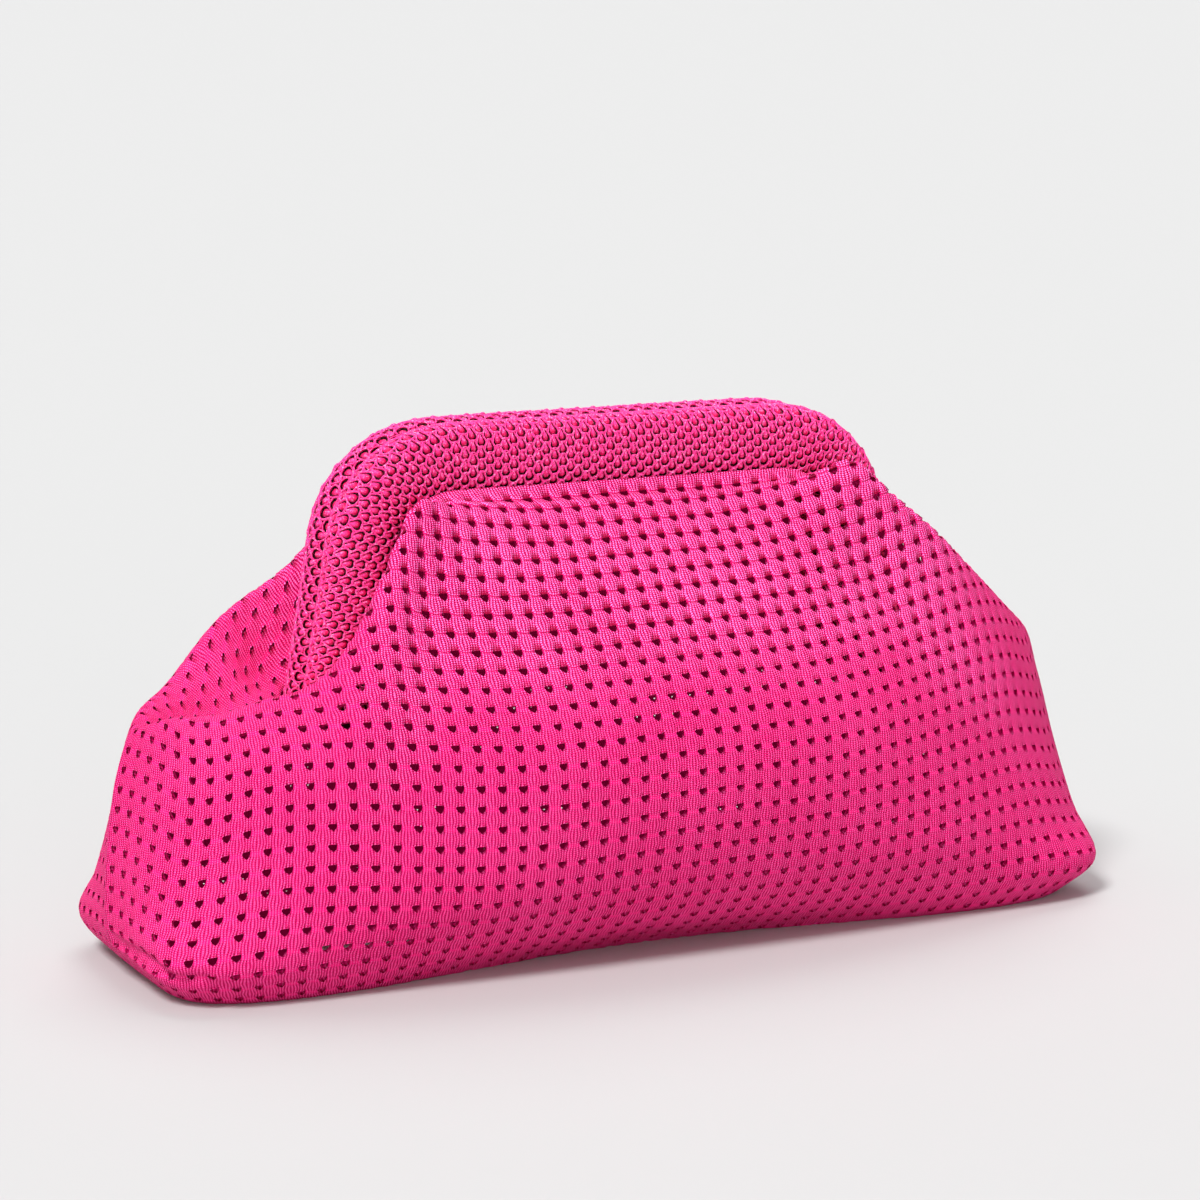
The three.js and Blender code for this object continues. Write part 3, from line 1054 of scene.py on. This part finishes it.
@dataclass
class StitchField:
    """Geometry Nodes tree that sets a stitch on every point of a mesh and joins a core to the result."""

    name: str
    width: float = 1.0
    length: float = 1.0
    lift: float = 1.0
    unevenness: float = 0.06
    seed: int = 3

    def tree(self) -> bpy.types.NodeTree:
        """Build the tree, with named inputs for the stitch, the core, its sizes and its material.

        Returns:
            The tree.
        """
        tree = bpy.data.node_groups.new(self.name, "GeometryNodeTree")
        sockets = (
            ("Points", "NodeSocketGeometry"), ("Stitch", "NodeSocketObject"), ("Core", "NodeSocketObject"),
            ("Width", "NodeSocketFloat"), ("Length", "NodeSocketFloat"), ("Lift", "NodeSocketFloat"),
            ("Unevenness", "NodeSocketFloat"), ("Seed", "NodeSocketInt"), ("Material", "NodeSocketMaterial"),
        )
        for label, kind in sockets:
            tree.interface.new_socket(label, in_out="INPUT", socket_type=kind)
        tree.interface.new_socket("Knit", in_out="OUTPUT", socket_type="NodeSocketGeometry")

        def node(kind: str, settings: Settings | None = None, inputs: Inputs | None = None) -> Sequence:
            """Add one node to the tree and return its outputs."""
            return add_node(tree, kind, settings, inputs).outputs

        def math_of(operation: str, *values: object) -> bpy.types.NodeSocket:
            """Return a Math node's result for values."""
            return node("ShaderNodeMath", {"operation": operation}, dict(enumerate(values)))[0]

        def named(name: str, kind: str) -> bpy.types.NodeSocket:
            """Return a named value of the mesh's points."""
            return node("GeometryNodeInputNamedAttribute", {"data_type": kind}, {"Name": name})["Attribute"]

        source = node("NodeGroupInput")
        upright = node(
            "FunctionNodeAlignRotationToVector", {"axis": "Z"}, {"Vector": named("out", "FLOAT_VECTOR")},
        )
        turned = node(
            "FunctionNodeAlignRotationToVector", {"axis": "X", "pivot_axis": "Z"},
            {"Rotation": upright[0], "Vector": named("along", "FLOAT_VECTOR")},
        )
        smallest = math_of("SUBTRACT", 1.0, source["Unevenness"])
        largest = math_of("ADD", 1.0, source["Unevenness"])
        uneven = node("FunctionNodeRandomValue", None, {2: smallest, 3: largest, "Seed": source["Seed"]})
        wide = math_of("MULTIPLY", source["Width"], named("stretch", "FLOAT"))
        even = node("ShaderNodeCombineXYZ", None, {"X": wide, "Y": source["Length"], "Z": source["Lift"]})
        size = node("ShaderNodeVectorMath", {"operation": "SCALE"}, {0: even[0], "Scale": uneven[1]})
        stitch, core = (
            node("GeometryNodeObjectInfo", None, {"Object": source[label]})["Geometry"]
            for label in ("Stitch", "Core")
        )
        places = {"Points": source["Points"], "Instance": stitch, "Rotation": turned[0], "Scale": size[0]}
        placed = node("GeometryNodeInstanceOnPoints", None, places)
        joined = add_node(tree, "GeometryNodeJoinGeometry")
        for part in (placed[0], core):
            tree.links.new(part, joined.inputs[0])
        plain = node("GeometryNodeRealizeInstances", None, {"Geometry": joined.outputs[0]})
        smooth = node("GeometryNodeSetShadeSmooth", None, {"Geometry": plain[0]})
        dress = {"Geometry": smooth[0], "Material": source["Material"]}
        dressed = node("GeometryNodeSetMaterial", None, dress)
        node("NodeGroupOutput", None, {"Knit": dressed[0]})
        return tree

    def bake(
        self, piece: bpy.types.Object, stitch: bpy.types.Object, core: bpy.types.Object,
        finish: bpy.types.Material,
    ) -> bpy.types.Object:
        """Grow the stitches on a piece's points and keep the result as its plain mesh.

        Args:
            piece: Object whose points carry the stitches.
            stitch: Object set on each point.
            core: Object joined to the stitches.
            finish: Material of the result.

        Returns:
            The piece with its new mesh and no modifier.
        """
        tree = self.tree()
        modifier = piece.modifiers.new(self.name, "NODES")
        modifier.node_group = tree
        values = {
            "Stitch": stitch, "Core": core, "Width": self.width, "Length": self.length, "Lift": self.lift,
            "Unevenness": self.unevenness, "Seed": self.seed, "Material": finish,
        }
        for item in tree.interface.items_tree:
            if item.in_out == "INPUT" and item.name in values:
                modifier[item.identifier] = values[item.name]
        graph = bpy.context.evaluated_depsgraph_get()
        mesh = bpy.data.meshes.new_from_object(
            piece.evaluated_get(graph), preserve_all_data_layers=True, depsgraph=graph,
        )
        piece.modifiers.clear()
        piece.data = mesh
        return piece


@dataclass
class KnitRoll:
    """One thick roll of the mouth: a soft core covered in tuck stitches from the slit to the seam."""

    side: Side
    arch: MouthArch
    stitch: TuckStitch
    stitch_pitch: float = 6.2
    rows: int = 28
    core_inset: float = 1.1
    core_rings: float = 2.4
    core_sides: int = 36
    line_step: float = 0.5
    foot_up: float = 79.0
    foot_round: float = 7.0
    bare_foot: float = 5.0
    bare_slit_rows: int = 1
    first_stitch: float = 0.25
    row_probe: float = 0.1
    soften: int = 15
    drift: float = 0.2
    seed: int = 5

    def line(self) -> tuple[np.ndarray, np.ndarray, np.ndarray]:
        """Work out the roll's middle line.

        Returns:
            Its points across and up, its directions, and the length to each point.
        """
        rough = self.arch.line(self.arch.roll_height / 2, self.foot_up, self.line_step)
        padded = np.concatenate([rough[:1].repeat(self.soften, 0), rough, rough[-1:].repeat(self.soften, 0)])
        kernel = np.ones(2 * self.soften + 1) / (2 * self.soften + 1)
        soft = np.stack([np.convolve(padded[:, axis], kernel, "valid") for axis in (0, 1)], 1)
        return soft, unit(np.gradient(soft, axis=0)), lengths_along(soft)

    def around(self, inset: float, count: int = 720) -> np.ndarray:
        """Return the roll's section, from the slit over its top.

        Args:
            inset: Distance in from the roll's face.
            count: Number of points.

        Returns:
            Columns of depth and outward size.
        """
        angles = np.linspace(0, 2 * math.pi, count)
        half_deep, half_out = self.arch.roll_depth / 2 - inset, self.arch.roll_height / 2 - inset
        return squared_oval(angles, half_deep, half_out, self.arch.squareness)

    def place(self, along: np.ndarray, section: np.ndarray) -> tuple[np.ndarray, np.ndarray]:
        """Carry points of the section to lengths along the roll.

        Args:
            along: Length of each point along the roll's middle line.
            section: Depth and outward size of each point.

        Returns:
            The points, and the direction of the roll at each of them.
        """
        line, direction, lengths = self.line()
        middle = points_at(line, along, lengths)
        onward = unit(points_at(direction, along, lengths))
        across = middle[:, 0] - onward[:, 1] * section[:, 1]
        up = middle[:, 1] + onward[:, 0] * section[:, 1]
        depth = self.side.value * (self.arch.roll_centre - section[:, 0])
        return np.stack([across, depth, up], 1), np.stack([onward[:, 0], 0 * depth, onward[:, 1]], 1)

    def build(self, finish: bpy.types.Material) -> bpy.types.Object:
        """Build the roll from its core and its stitches.

        Args:
            finish: Material of the roll.

        Returns:
            The roll.
        """
        name = f"{self.side.name.lower()}_roll"
        core, stitch = self.build_core(), self.stitch.build()
        piece = self.build_points(name)
        StitchField(f"{name}_stitches").bake(piece, stitch, core, finish)
        for helper in (core, stitch):
            bpy.data.objects.remove(helper)
        return piece

    def build_core(self) -> bpy.types.Object:
        """Build the core: a tube along the roll with rounded feet.

        Returns:
            The core.
        """
        total = self.line()[2][-1]
        section = self.around(self.core_inset, self.core_sides + 1)[:-1]
        piece = MeshPiece("core")
        rings = []
        for place in np.linspace(0, total, int(total / self.core_rings))[1:-1]:
            from_foot = min(place, total - place)
            share = math.sqrt(1 - max(1 - from_foot / self.foot_round, 0) ** 2)
            points, _ = self.place(np.full(len(section), place), section * share)
            # The core takes painted shadow, so it shows dark in the pits between the stitches.
            rings.append(piece.add_points(points, tone=0.0))
        ends = [self.place(np.array([end]), np.zeros((1, 2)))[0] for end in (0, total)]
        tips = [piece.add_points(end, tone=0.0)[0] for end in ends]
        add_skin(piece, rings, tips)
        return piece.make()

    def build_points(self, name: str) -> bpy.types.Object:
        """Build the points that stitches grow on, with their directions and their stretch along the roll.

        Args:
            name: Name of the roll.

        Returns:
            The roll as points alone.
        """
        total = self.line()[2][-1]
        section = self.around(self.core_inset)
        lengths = lengths_along(section)
        covered = total - 2 * self.bare_foot
        columns = round(covered / self.stitch_pitch)
        pitch = covered / columns
        row_pitch = lengths[-1] / self.rows
        piece = MeshPiece(name)
        uneven = np.random.default_rng(self.seed + self.side.value)
        for row in range(self.bare_slit_rows, self.rows + 1 - self.bare_slit_rows):
            places = self.bare_foot + (np.arange(columns) + self.first_stitch + row % 2 / 2) * pitch
            places = places + uneven.uniform(-self.drift, self.drift, columns)
            near = (row + np.array([-self.row_probe, 0.0, self.row_probe])) * row_pitch
            spots = points_at(section, near, lengths)
            before, points, after = (self.place(places, np.tile(spot, (columns, 1)))[0] for spot in spots)
            ahead, onward = self.place(places + 1, np.tile(spots[1], (columns, 1)))
            middle, _ = self.place(places, np.zeros((columns, 2)))
            down = unit(after - before)
            out = unit(np.cross(onward, down))
            out *= np.sign(((points - middle) * out).sum(1, keepdims=True))
            stretch = np.linalg.norm(ahead - points, axis=1)
            piece.add_points(points, out=out, along=np.cross(down, out), stretch=stretch)
        return piece.make()


class Term:
    """A number that varies over a surface: a shader socket that takes part in sums."""

    def __init__(self, shader: "Shader", socket: bpy.types.NodeSocket) -> None:
        """Wrap a socket of a shader."""
        self.shader = shader
        self.socket = socket

    def __add__(self, other: Value) -> "Term":
        """Return self + other."""
        return self.shader.math("ADD", self, other)

    def __sub__(self, other: Value) -> "Term":
        """Return self - other."""
        return self.shader.math("SUBTRACT", self, other)

    def __rsub__(self, other: Value) -> "Term":
        """Return other - self."""
        return self.shader.math("SUBTRACT", other, self)

    def __mul__(self, other: Value) -> "Term":
        """Return self * other."""
        return self.shader.math("MULTIPLY", self, other)

    def __pow__(self, other: Value) -> "Term":
        """Return self to the power other."""
        return self.shader.math("POWER", self, other)

    def __abs__(self) -> "Term":
        """Return self without its sign."""
        return self.shader.math("ABSOLUTE", self)

    __radd__ = __add__
    __rmul__ = __mul__

    def part(self) -> "Term":
        """Return what is left of self above a whole number."""
        return self.shader.math("FRACT", self)

    def cosine(self) -> "Term":
        """Return the cosine of self in turns."""
        return self.shader.math("COSINE", self * (2 * math.pi))

    def wave(self) -> "Term":
        """Return a wave of self in turns, 1 at whole numbers and 0 midway between them."""
        return self.cosine() * 0.5 + 0.5

    def between(self, low: float, high: float) -> "Term":
        """Return a smooth step of self from 0 to 1.

        Args:
            low: Where it is 0.
            high: Where it is 1, above or below low.

        Returns:
            The step.
        """
        settings = {"interpolation_type": "SMOOTHSTEP"}
        flip = low > high
        inputs = {"Value": self, "From Min": min(low, high), "From Max": max(low, high)}
        inputs |= {"To Min": float(flip), "To Max": float(not flip)}
        return Term(self.shader, self.shader.node("ShaderNodeMapRange", settings, inputs).outputs[0])


class Shader:
    """A material's node tree, filled through one method for nodes and a few short forms of it."""

    def __init__(self, name: str) -> None:
        """Start a material with an empty tree.

        Args:
            name: The material's name.
        """
        self.material = bpy.data.materials.new(name)
        self.material.use_nodes = True
        self.tree = self.material.node_tree
        self.tree.nodes.clear()

    def node(
        self, kind: str, settings: Settings | None = None, inputs: Inputs | None = None,
    ) -> bpy.types.Node:
        """Add one node of a type, with its settings and its inputs, and return it."""
        return add_node(self.tree, kind, settings, inputs)

    def math(self, operation: str, *values: Value) -> Term:
        """Return a Math node's result for values."""
        made = self.node("ShaderNodeMath", {"operation": operation}, dict(enumerate(values)))
        return Term(self, made.outputs[0])

    def mix(self, share: Value, low: object, high: object) -> bpy.types.NodeSocket:
        """Return a colour between two colours."""
        return self.node("ShaderNodeMix", {"data_type": "RGBA"}, {0: share, 6: low, 7: high}).outputs[2]

    def attribute(self, name: str) -> Term:
        """Return a named value of the mesh's points."""
        return Term(self, self.node("ShaderNodeAttribute", {"attribute_name": name}).outputs["Fac"])

    def uv(self, name: str) -> tuple[Term, Term]:
        """Read a UV map.

        Args:
            name: The map's name.

        Returns:
            Its two columns.
        """
        spot = self.node("ShaderNodeUVMap", {"uv_map": name}).outputs[0]
        split = self.node("ShaderNodeSeparateXYZ", None, {0: spot})
        return Term(self, split.outputs[0]), Term(self, split.outputs[1])

    def noise(self, size: float, detail: float) -> Term:
        """Return noise over the object.

        Args:
            size: Size of its lumps in millimetres.
            detail: Number of finer layers.

        Returns:
            The noise, about 0 to 1.
        """
        spot = self.node("ShaderNodeTexCoord").outputs["Object"]
        inputs = {"Vector": spot, "Scale": 1 / (size * METRES), "Detail": detail}
        return Term(self, self.node("ShaderNodeTexNoise", None, inputs).outputs[0])

    def bump(self, height: Term, distance: float, strength: float) -> bpy.types.NodeSocket:
        """Return normals raised by a height.

        Args:
            height: The height, in shares of the distance.
            distance: Distance in millimetres.
            strength: Share of the bump that shows.

        Returns:
            The normals.
        """
        inputs = {"Height": height, "Distance": distance * METRES, "Strength": strength}
        return self.node("ShaderNodeBump", None, inputs).outputs[0]

    def surface(self, inputs: Inputs) -> bpy.types.Material:
        """Finish the material.

        Args:
            inputs: Values or links of the surface's sockets.

        Returns:
            The material.
        """
        cover = self.node("ShaderNodeBsdfPrincipled", None, inputs)
        self.node("ShaderNodeOutputMaterial", None, {"Surface": cover.outputs[0]})
        return self.material


@dataclass(frozen=True)
class KnitZone:
    """A patch of every eyelet repeat: where it fades in across and upwards, and out again upwards."""

    across: Span
    start: Span
    stop: Span

    def cover(self, aside: Term, level: Term) -> Term:
        """Return how far places at these shares of a repeat lie in the patch."""
        return aside.between(*self.across) * level.between(*self.start) * level.between(*self.stop)


@dataclass(frozen=True)
class Mottle:
    """Noise over a piece: the size of its lumps in millimetres, its amount, least value and detail."""

    size: float
    amount: float = 1.0
    least: float = 0.0
    detail: float = 2.0

    def over(self, shader: Shader) -> Term:
        """Return the noise on a shader's surface."""
        return shader.noise(self.size, self.detail) * self.amount + self.least


@dataclass(frozen=True)
class EyeletKnitFinish:
    """Fine pink knit: columns of small stitches, with smooth bands from eyelet to eyelet, and painted shade,
    highlights and glow in its colour.
    """

    wales: float = 7.0
    wale_bend: float = 0.5
    wale_waver: Mottle = Mottle(3.0, 0.5)
    wale_power: float = 1.4
    courses: float = 9.0
    course_dome: float = 0.5
    course_waver: Mottle = Mottle(2.5, 0.8)
    course_share: float = 0.75
    eyelet_level: float = 0.28
    band: KnitZone = KnitZone((0.16, 0.22), (0.16, 0.22), (0.44, 0.38))
    band_calm: float = 0.75
    tongue: KnitZone = KnitZone((0.18, 0.12), (0.3, 0.4), (0.9, 0.5))
    tick: KnitZone = KnitZone((0.045, 0.015), (0.4, 0.44), (0.68, 0.52))
    tick_aside: float = 0.13
    # Painted shade in the short slits above each eyelet.
    tick_painted_shade: float = 0.7
    tick_depth: float = 0.6
    groove_level: float = 0.31
    groove_edge: Span = (0.05, 0.01)
    groove_aside: Span = (0.18, 0.22)
    # Painted shade in the groove from eyelet to eyelet.
    groove_painted_shade: float = 0.35
    # Noise of the painted glints on the stitches.
    painted_glint: Mottle = Mottle(1.3, 1.4, 0.3)
    cloud: Mottle = Mottle(38.0, 0.3, -0.15)
    tone_step: Span = (0.2, 0.85)
    # Share of the painted highlights kept where the knit lies flat.
    light_share: float = 0.3
    # Share of painted shade on the inner face.
    inside_painted_shade: float = 0.9
    # Painted shade: darker pink for the gaps between stitches, the slits above the eyelets and the grooves
    # between them.
    deep: Colour = srgb(140, 0, 44)
    pink: Colour = srgb(236, 14, 112)
    # Painted highlight colour of the glints on the stitches.
    light: Colour = srgb(255, 140, 222)
    # Painted shade in the sunken tongue above each eyelet.
    recess_painted_shade: Colour = srgb(160, 0, 56)
    # Painted shade colour of the inner face and the eyelet walls.
    shadow: Colour = srgb(170, 0, 78)
    # Painted glow: the inner face gives off dim light of its own.
    painted_inner_glow: Colour = srgb(64, 0, 26)
    roughness: float = 0.75
    speck_shine: float = 0.25
    relief: Span = (0.35, 0.8)
    gloss: float = 0.1

    def make(self) -> bpy.types.Material:
        """Make the material.

        Returns:
            The material.
        """
        shader = Shader("eyelet_knit")
        across, up = shader.uv("knit")
        inside, slack = shader.attribute("inside"), shader.attribute("slack")
        aside, level = across.part() - 0.5, up.part()
        from_middle = abs(aside)
        band = self.band.cover(from_middle, level)
        tongue = self.tongue.cover(from_middle, level)
        tick = self.tick.cover(abs(from_middle - self.tick_aside), level)
        groove = abs(level - self.groove_level).between(*self.groove_edge)
        groove = groove * from_middle.between(*self.groove_aside) * slack

        bend = aside * (0.5 - from_middle) * (level - self.eyelet_level).cosine() * self.wale_bend
        wales = (across - bend) * self.wales + self.wale_waver.over(shader)
        wale, leg = wales.wave(), abs(wales.part() - 0.5)
        dome = across.cosine() * self.course_dome
        course = (up * self.courses + leg + dome + self.course_waver.over(shader)).wave()
        dot = (wale ** self.wale_power) * (course * self.course_share + (1 - self.course_share))
        dot = dot * (1 - band * self.band_calm)
        # Painted glints on the tops of the stitches, away from the gaps.
        painted_glint = (1 - wale) * (1 - course) * self.painted_glint.over(shader)

        cloud = self.cloud.over(shader)
        # Painted shade in the gaps between stitches, taken towards the deep colour.
        colour = shader.mix((dot - cloud).between(*self.tone_step), self.pink, self.deep)
        # Painted highlights: the glints turn light pink, more where the knit hangs loose.
        lit = (painted_glint + cloud).between(*self.tone_step) * (slack + self.light_share)
        colour = shader.mix(lit, colour, self.light)
        # Painted shade on the sunken tongues, more where the relief is deep.
        colour = shader.mix(tongue * slack, colour, self.recess_painted_shade)
        # Painted shade: the slits and the grooves are darkened towards the deep colour.
        colour = shader.mix(tick * self.tick_painted_shade + groove * self.groove_painted_shade, colour, self.deep)
        # Painted shade on the inner face, fading over the eyelet walls to the outer face.
        colour = shader.mix(inside * self.inside_painted_shade, colour, self.shadow)
        height = 1 - dot - tick * self.tick_depth - groove
        return shader.surface({
            "Base Color": colour,
            "Roughness": self.roughness - painted_glint * self.speck_shine,
            "Normal": shader.bump(height, *self.relief),
            "Specular IOR Level": self.gloss,
            # Painted glow: the inner face emits light though it is no lamp.
            "Emission Color": shader.mix(inside, BLACK, self.painted_inner_glow),
            "Emission Strength": 1.0,
        })


@dataclass(frozen=True)
class RollKnitFinish:
    """Thick pink yarn of the rolls, with painted shadow in the pits and painted highlights and glints on the
    rings of yarn round them.
    """

    fibre: Mottle = Mottle(0.7, detail=3.0)
    grain_step: Span = (0.0, 0.35)
    light_step: Span = (0.4, 1.0)
    light_waver: float = 0.3
    glint_step: Span = (0.5, 0.75)
    glint_share: float = 0.8
    # Painted shadow in the pits.
    shadow: Colour = srgb(52, 0, 18)
    grain: Colour = srgb(218, 6, 86)
    # Painted highlight on the rings of yarn and the grains' tops.
    light: Colour = srgb(252, 60, 150)
    # Painted glints on the yarn.
    glint: Colour = srgb(255, 180, 230)
    roughness: float = 0.45
    fibre_roughness: float = 0.3
    relief: Span = (0.3, 0.7)
    gloss: float = 0.2

    def make(self) -> bpy.types.Material:
        """Make the material.

        Returns:
            The material.
        """
        shader = Shader("roll_knit")
        tone = shader.attribute("tone")
        fibre = self.fibre.over(shader)
        lit = (tone + (fibre - 0.5) * self.light_waver).between(*self.light_step)
        # Painted shadow where the yarn sinks into the pits.
        colour = shader.mix(tone.between(*self.grain_step), self.shadow, self.grain)
        # Painted highlights on the raised yarn, wavering with the fibre.
        colour = shader.mix(lit, colour, self.light)
        # Painted glints where the fibre noise is high.
        colour = shader.mix(tone * fibre.between(*self.glint_step) * self.glint_share, colour, self.glint)
        return shader.surface({
            "Base Color": colour,
            "Roughness": self.roughness + fibre * self.fibre_roughness,
            "Normal": shader.bump(fibre, *self.relief),
            "Specular IOR Level": self.gloss,
        })


@dataclass(frozen=True)
class FrameMetalFinish:
    """Satin metal of the hidden frame, with fine drawn lines."""

    lines: Mottle = Mottle(1.4, detail=4.0)
    metal: Colour = srgb(196, 197, 200)
    dull: Colour = srgb(150, 151, 156)
    roughness: float = 0.3
    line_roughness: float = 0.2
    relief: Span = (0.05, 0.4)

    def make(self) -> bpy.types.Material:
        """Make the material.

        Returns:
            The material.
        """
        shader = Shader("frame_metal")
        drawn = self.lines.over(shader)
        return shader.surface({
            "Base Color": shader.mix(drawn, self.dull, self.metal),
            "Metallic": 1.0,
            "Roughness": self.roughness + drawn * self.line_roughness,
            "Normal": shader.bump(drawn, *self.relief),
        })


@dataclass
class PouchBag:
    """The whole bag: two knit panels, two rolls and the hidden frame."""

    arch: MouthArch = field(default_factory=MouthArch)
    inner_holes: Mapping[Side, float] = field(default_factory=lambda: {Side.FRONT: 1.3, Side.BACK: 0.2})
    front_creases: tuple[Crease, ...] = (
        Crease(
            (
                (-186.0, -2.0, 15.5), (-185.0, -16.0, 15.2), (-184.6, -30.0, 15.6), (-183.5, -39.0, 14.4),
                (-180.7, -43.0, 12.4), (-176.3, -48.0, 11.4), (-171.5, -52.2, 12.2), (-163.0, -52.0, 7.7),
            ),
            reach=2.6, depth=3.5,
        ),
    )

    def build(self) -> list[bpy.types.Object]:
        """Build and dress every piece of the bag.

        Returns:
            The finished pieces.
        """
        shape = PouchShape(self.arch)
        knit, yarn = EyeletKnitFinish().make(), RollKnitFinish().make()
        pieces = []
        for side in Side:
            creases = self.front_creases if side is Side.FRONT else ()
            panel = KnitPanel(side, shape, self.inner_holes[side], creases).build()
            panel.data.materials.append(knit)
            pieces.append(put_on(panel, "pouch_body"))
            roll = KnitRoll(side, self.arch, TuckStitch()).build(yarn)
            pieces.append(put_on(roll, f"{side.name.lower()}_casing"))
        pieces.append(self.dress_frame())
        return pieces

    def dress_frame(self) -> bpy.types.Object:
        """Give the hidden frame its metal.

        Returns:
            The frame.
        """
        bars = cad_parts["mouth_frame"]
        bars.data.materials.clear()
        bars.data.materials.append(FrameMetalFinish().make())
        return bars


@dataclass(frozen=True)
class Lamp:
    """A broad soft lamp far off: where it stands round the bag, its strength and its width, in degrees."""

    name: str
    azimuth: float
    elevation: float
    strength: float
    width: float


@dataclass
class Studio:
    """A pale floor, soft light and a camera at the photograph's angle."""

    azimuth: float = -25.9
    elevation: float = 10.05
    distance: float = 1303.0
    target: tuple[float, float, float] = (-1.0, 0.0, 117.0)
    lens: float = 109.86
    sensor: float = 36.0
    floor_half: float = 60_000.0
    floor_grey: float = 0.5
    sky: float = 0.5
    lamps: tuple[Lamp, ...] = (
        Lamp("key_lamp", -56.0, 52.0, 3.15, 16.0),
        Lamp("top_lamp", 150.0, 62.0, 1.2, 40.0),
        Lamp("fill_lamp", -15.0, 5.0, 1.2, 40.0),
    )

    def build(self) -> None:
        """Build the floor, the lights and the camera."""
        self.build_floor()
        self.build_lights()
        self.build_camera()
        bpy.context.scene.view_settings.view_transform = "Standard"

    @staticmethod
    def direction(azimuth: float, elevation: float) -> Vector:
        """Return the direction from the bag to a place round it.

        Args:
            azimuth: Degrees to the right of straight in front.
            elevation: Degrees above the ground.

        Returns:
            The direction.
        """
        turn, rise = math.radians(azimuth), math.radians(elevation)
        return Vector((math.sin(turn) * math.cos(rise), -math.cos(turn) * math.cos(rise), math.sin(rise)))

    def build_floor(self) -> None:
        """Build the floor as a wide plain square."""
        half = self.floor_half * METRES
        mesh = bpy.data.meshes.new("floor")
        corners = [(-half, -half, 0), (half, -half, 0), (half, half, 0), (-half, half, 0)]
        mesh.from_pydata(corners, [], [(0, 1, 2, 3)])
        floor = put_in_scene("floor", mesh)
        grey = (self.floor_grey, self.floor_grey, self.floor_grey, 1)
        mesh.materials.append(Shader("floor").surface({"Base Color": grey, "Roughness": 1.0}))

    def build_lights(self) -> None:
        """Build the even sky and the lamps."""
        world = bpy.data.worlds.new("sky")
        world.use_nodes = True
        backdrop = world.node_tree.nodes["Background"]
        backdrop.inputs["Color"].default_value = (1, 1, 1, 1)
        backdrop.inputs["Strength"].default_value = self.sky
        bpy.context.scene.world = world
        for lamp in self.lamps:
            light = bpy.data.lights.new(lamp.name, "SUN")
            light.energy = lamp.strength
            light.angle = math.radians(lamp.width)
            aim = -self.direction(lamp.azimuth, lamp.elevation)
            put_in_scene(lamp.name, light).rotation_euler = aim.to_track_quat("-Z", "Y").to_euler()

    def build_camera(self) -> None:
        """Build the camera, aimed at the bag."""
        back = self.direction(self.azimuth, self.elevation)
        lens = bpy.data.cameras.new("camera")
        lens.lens, lens.sensor_width = self.lens, self.sensor
        camera = put_in_scene("camera", lens)
        camera.location = (Vector(self.target) + back * self.distance) * METRES
        camera.rotation_euler = (-back).to_track_quat("-Z", "Y").to_euler()
        bpy.context.scene.camera = camera


def main() -> None:
    """Build the studio and the bag, and report every piece."""
    logging.basicConfig(level=logging.INFO, format="%(name)s: %(message)s")
    Studio().build()
    pieces = PouchBag().build()
    LOG.info("%d pieces: %s", len(pieces), ", ".join(piece.name for piece in pieces))


if __name__ == "__main__":
    main()
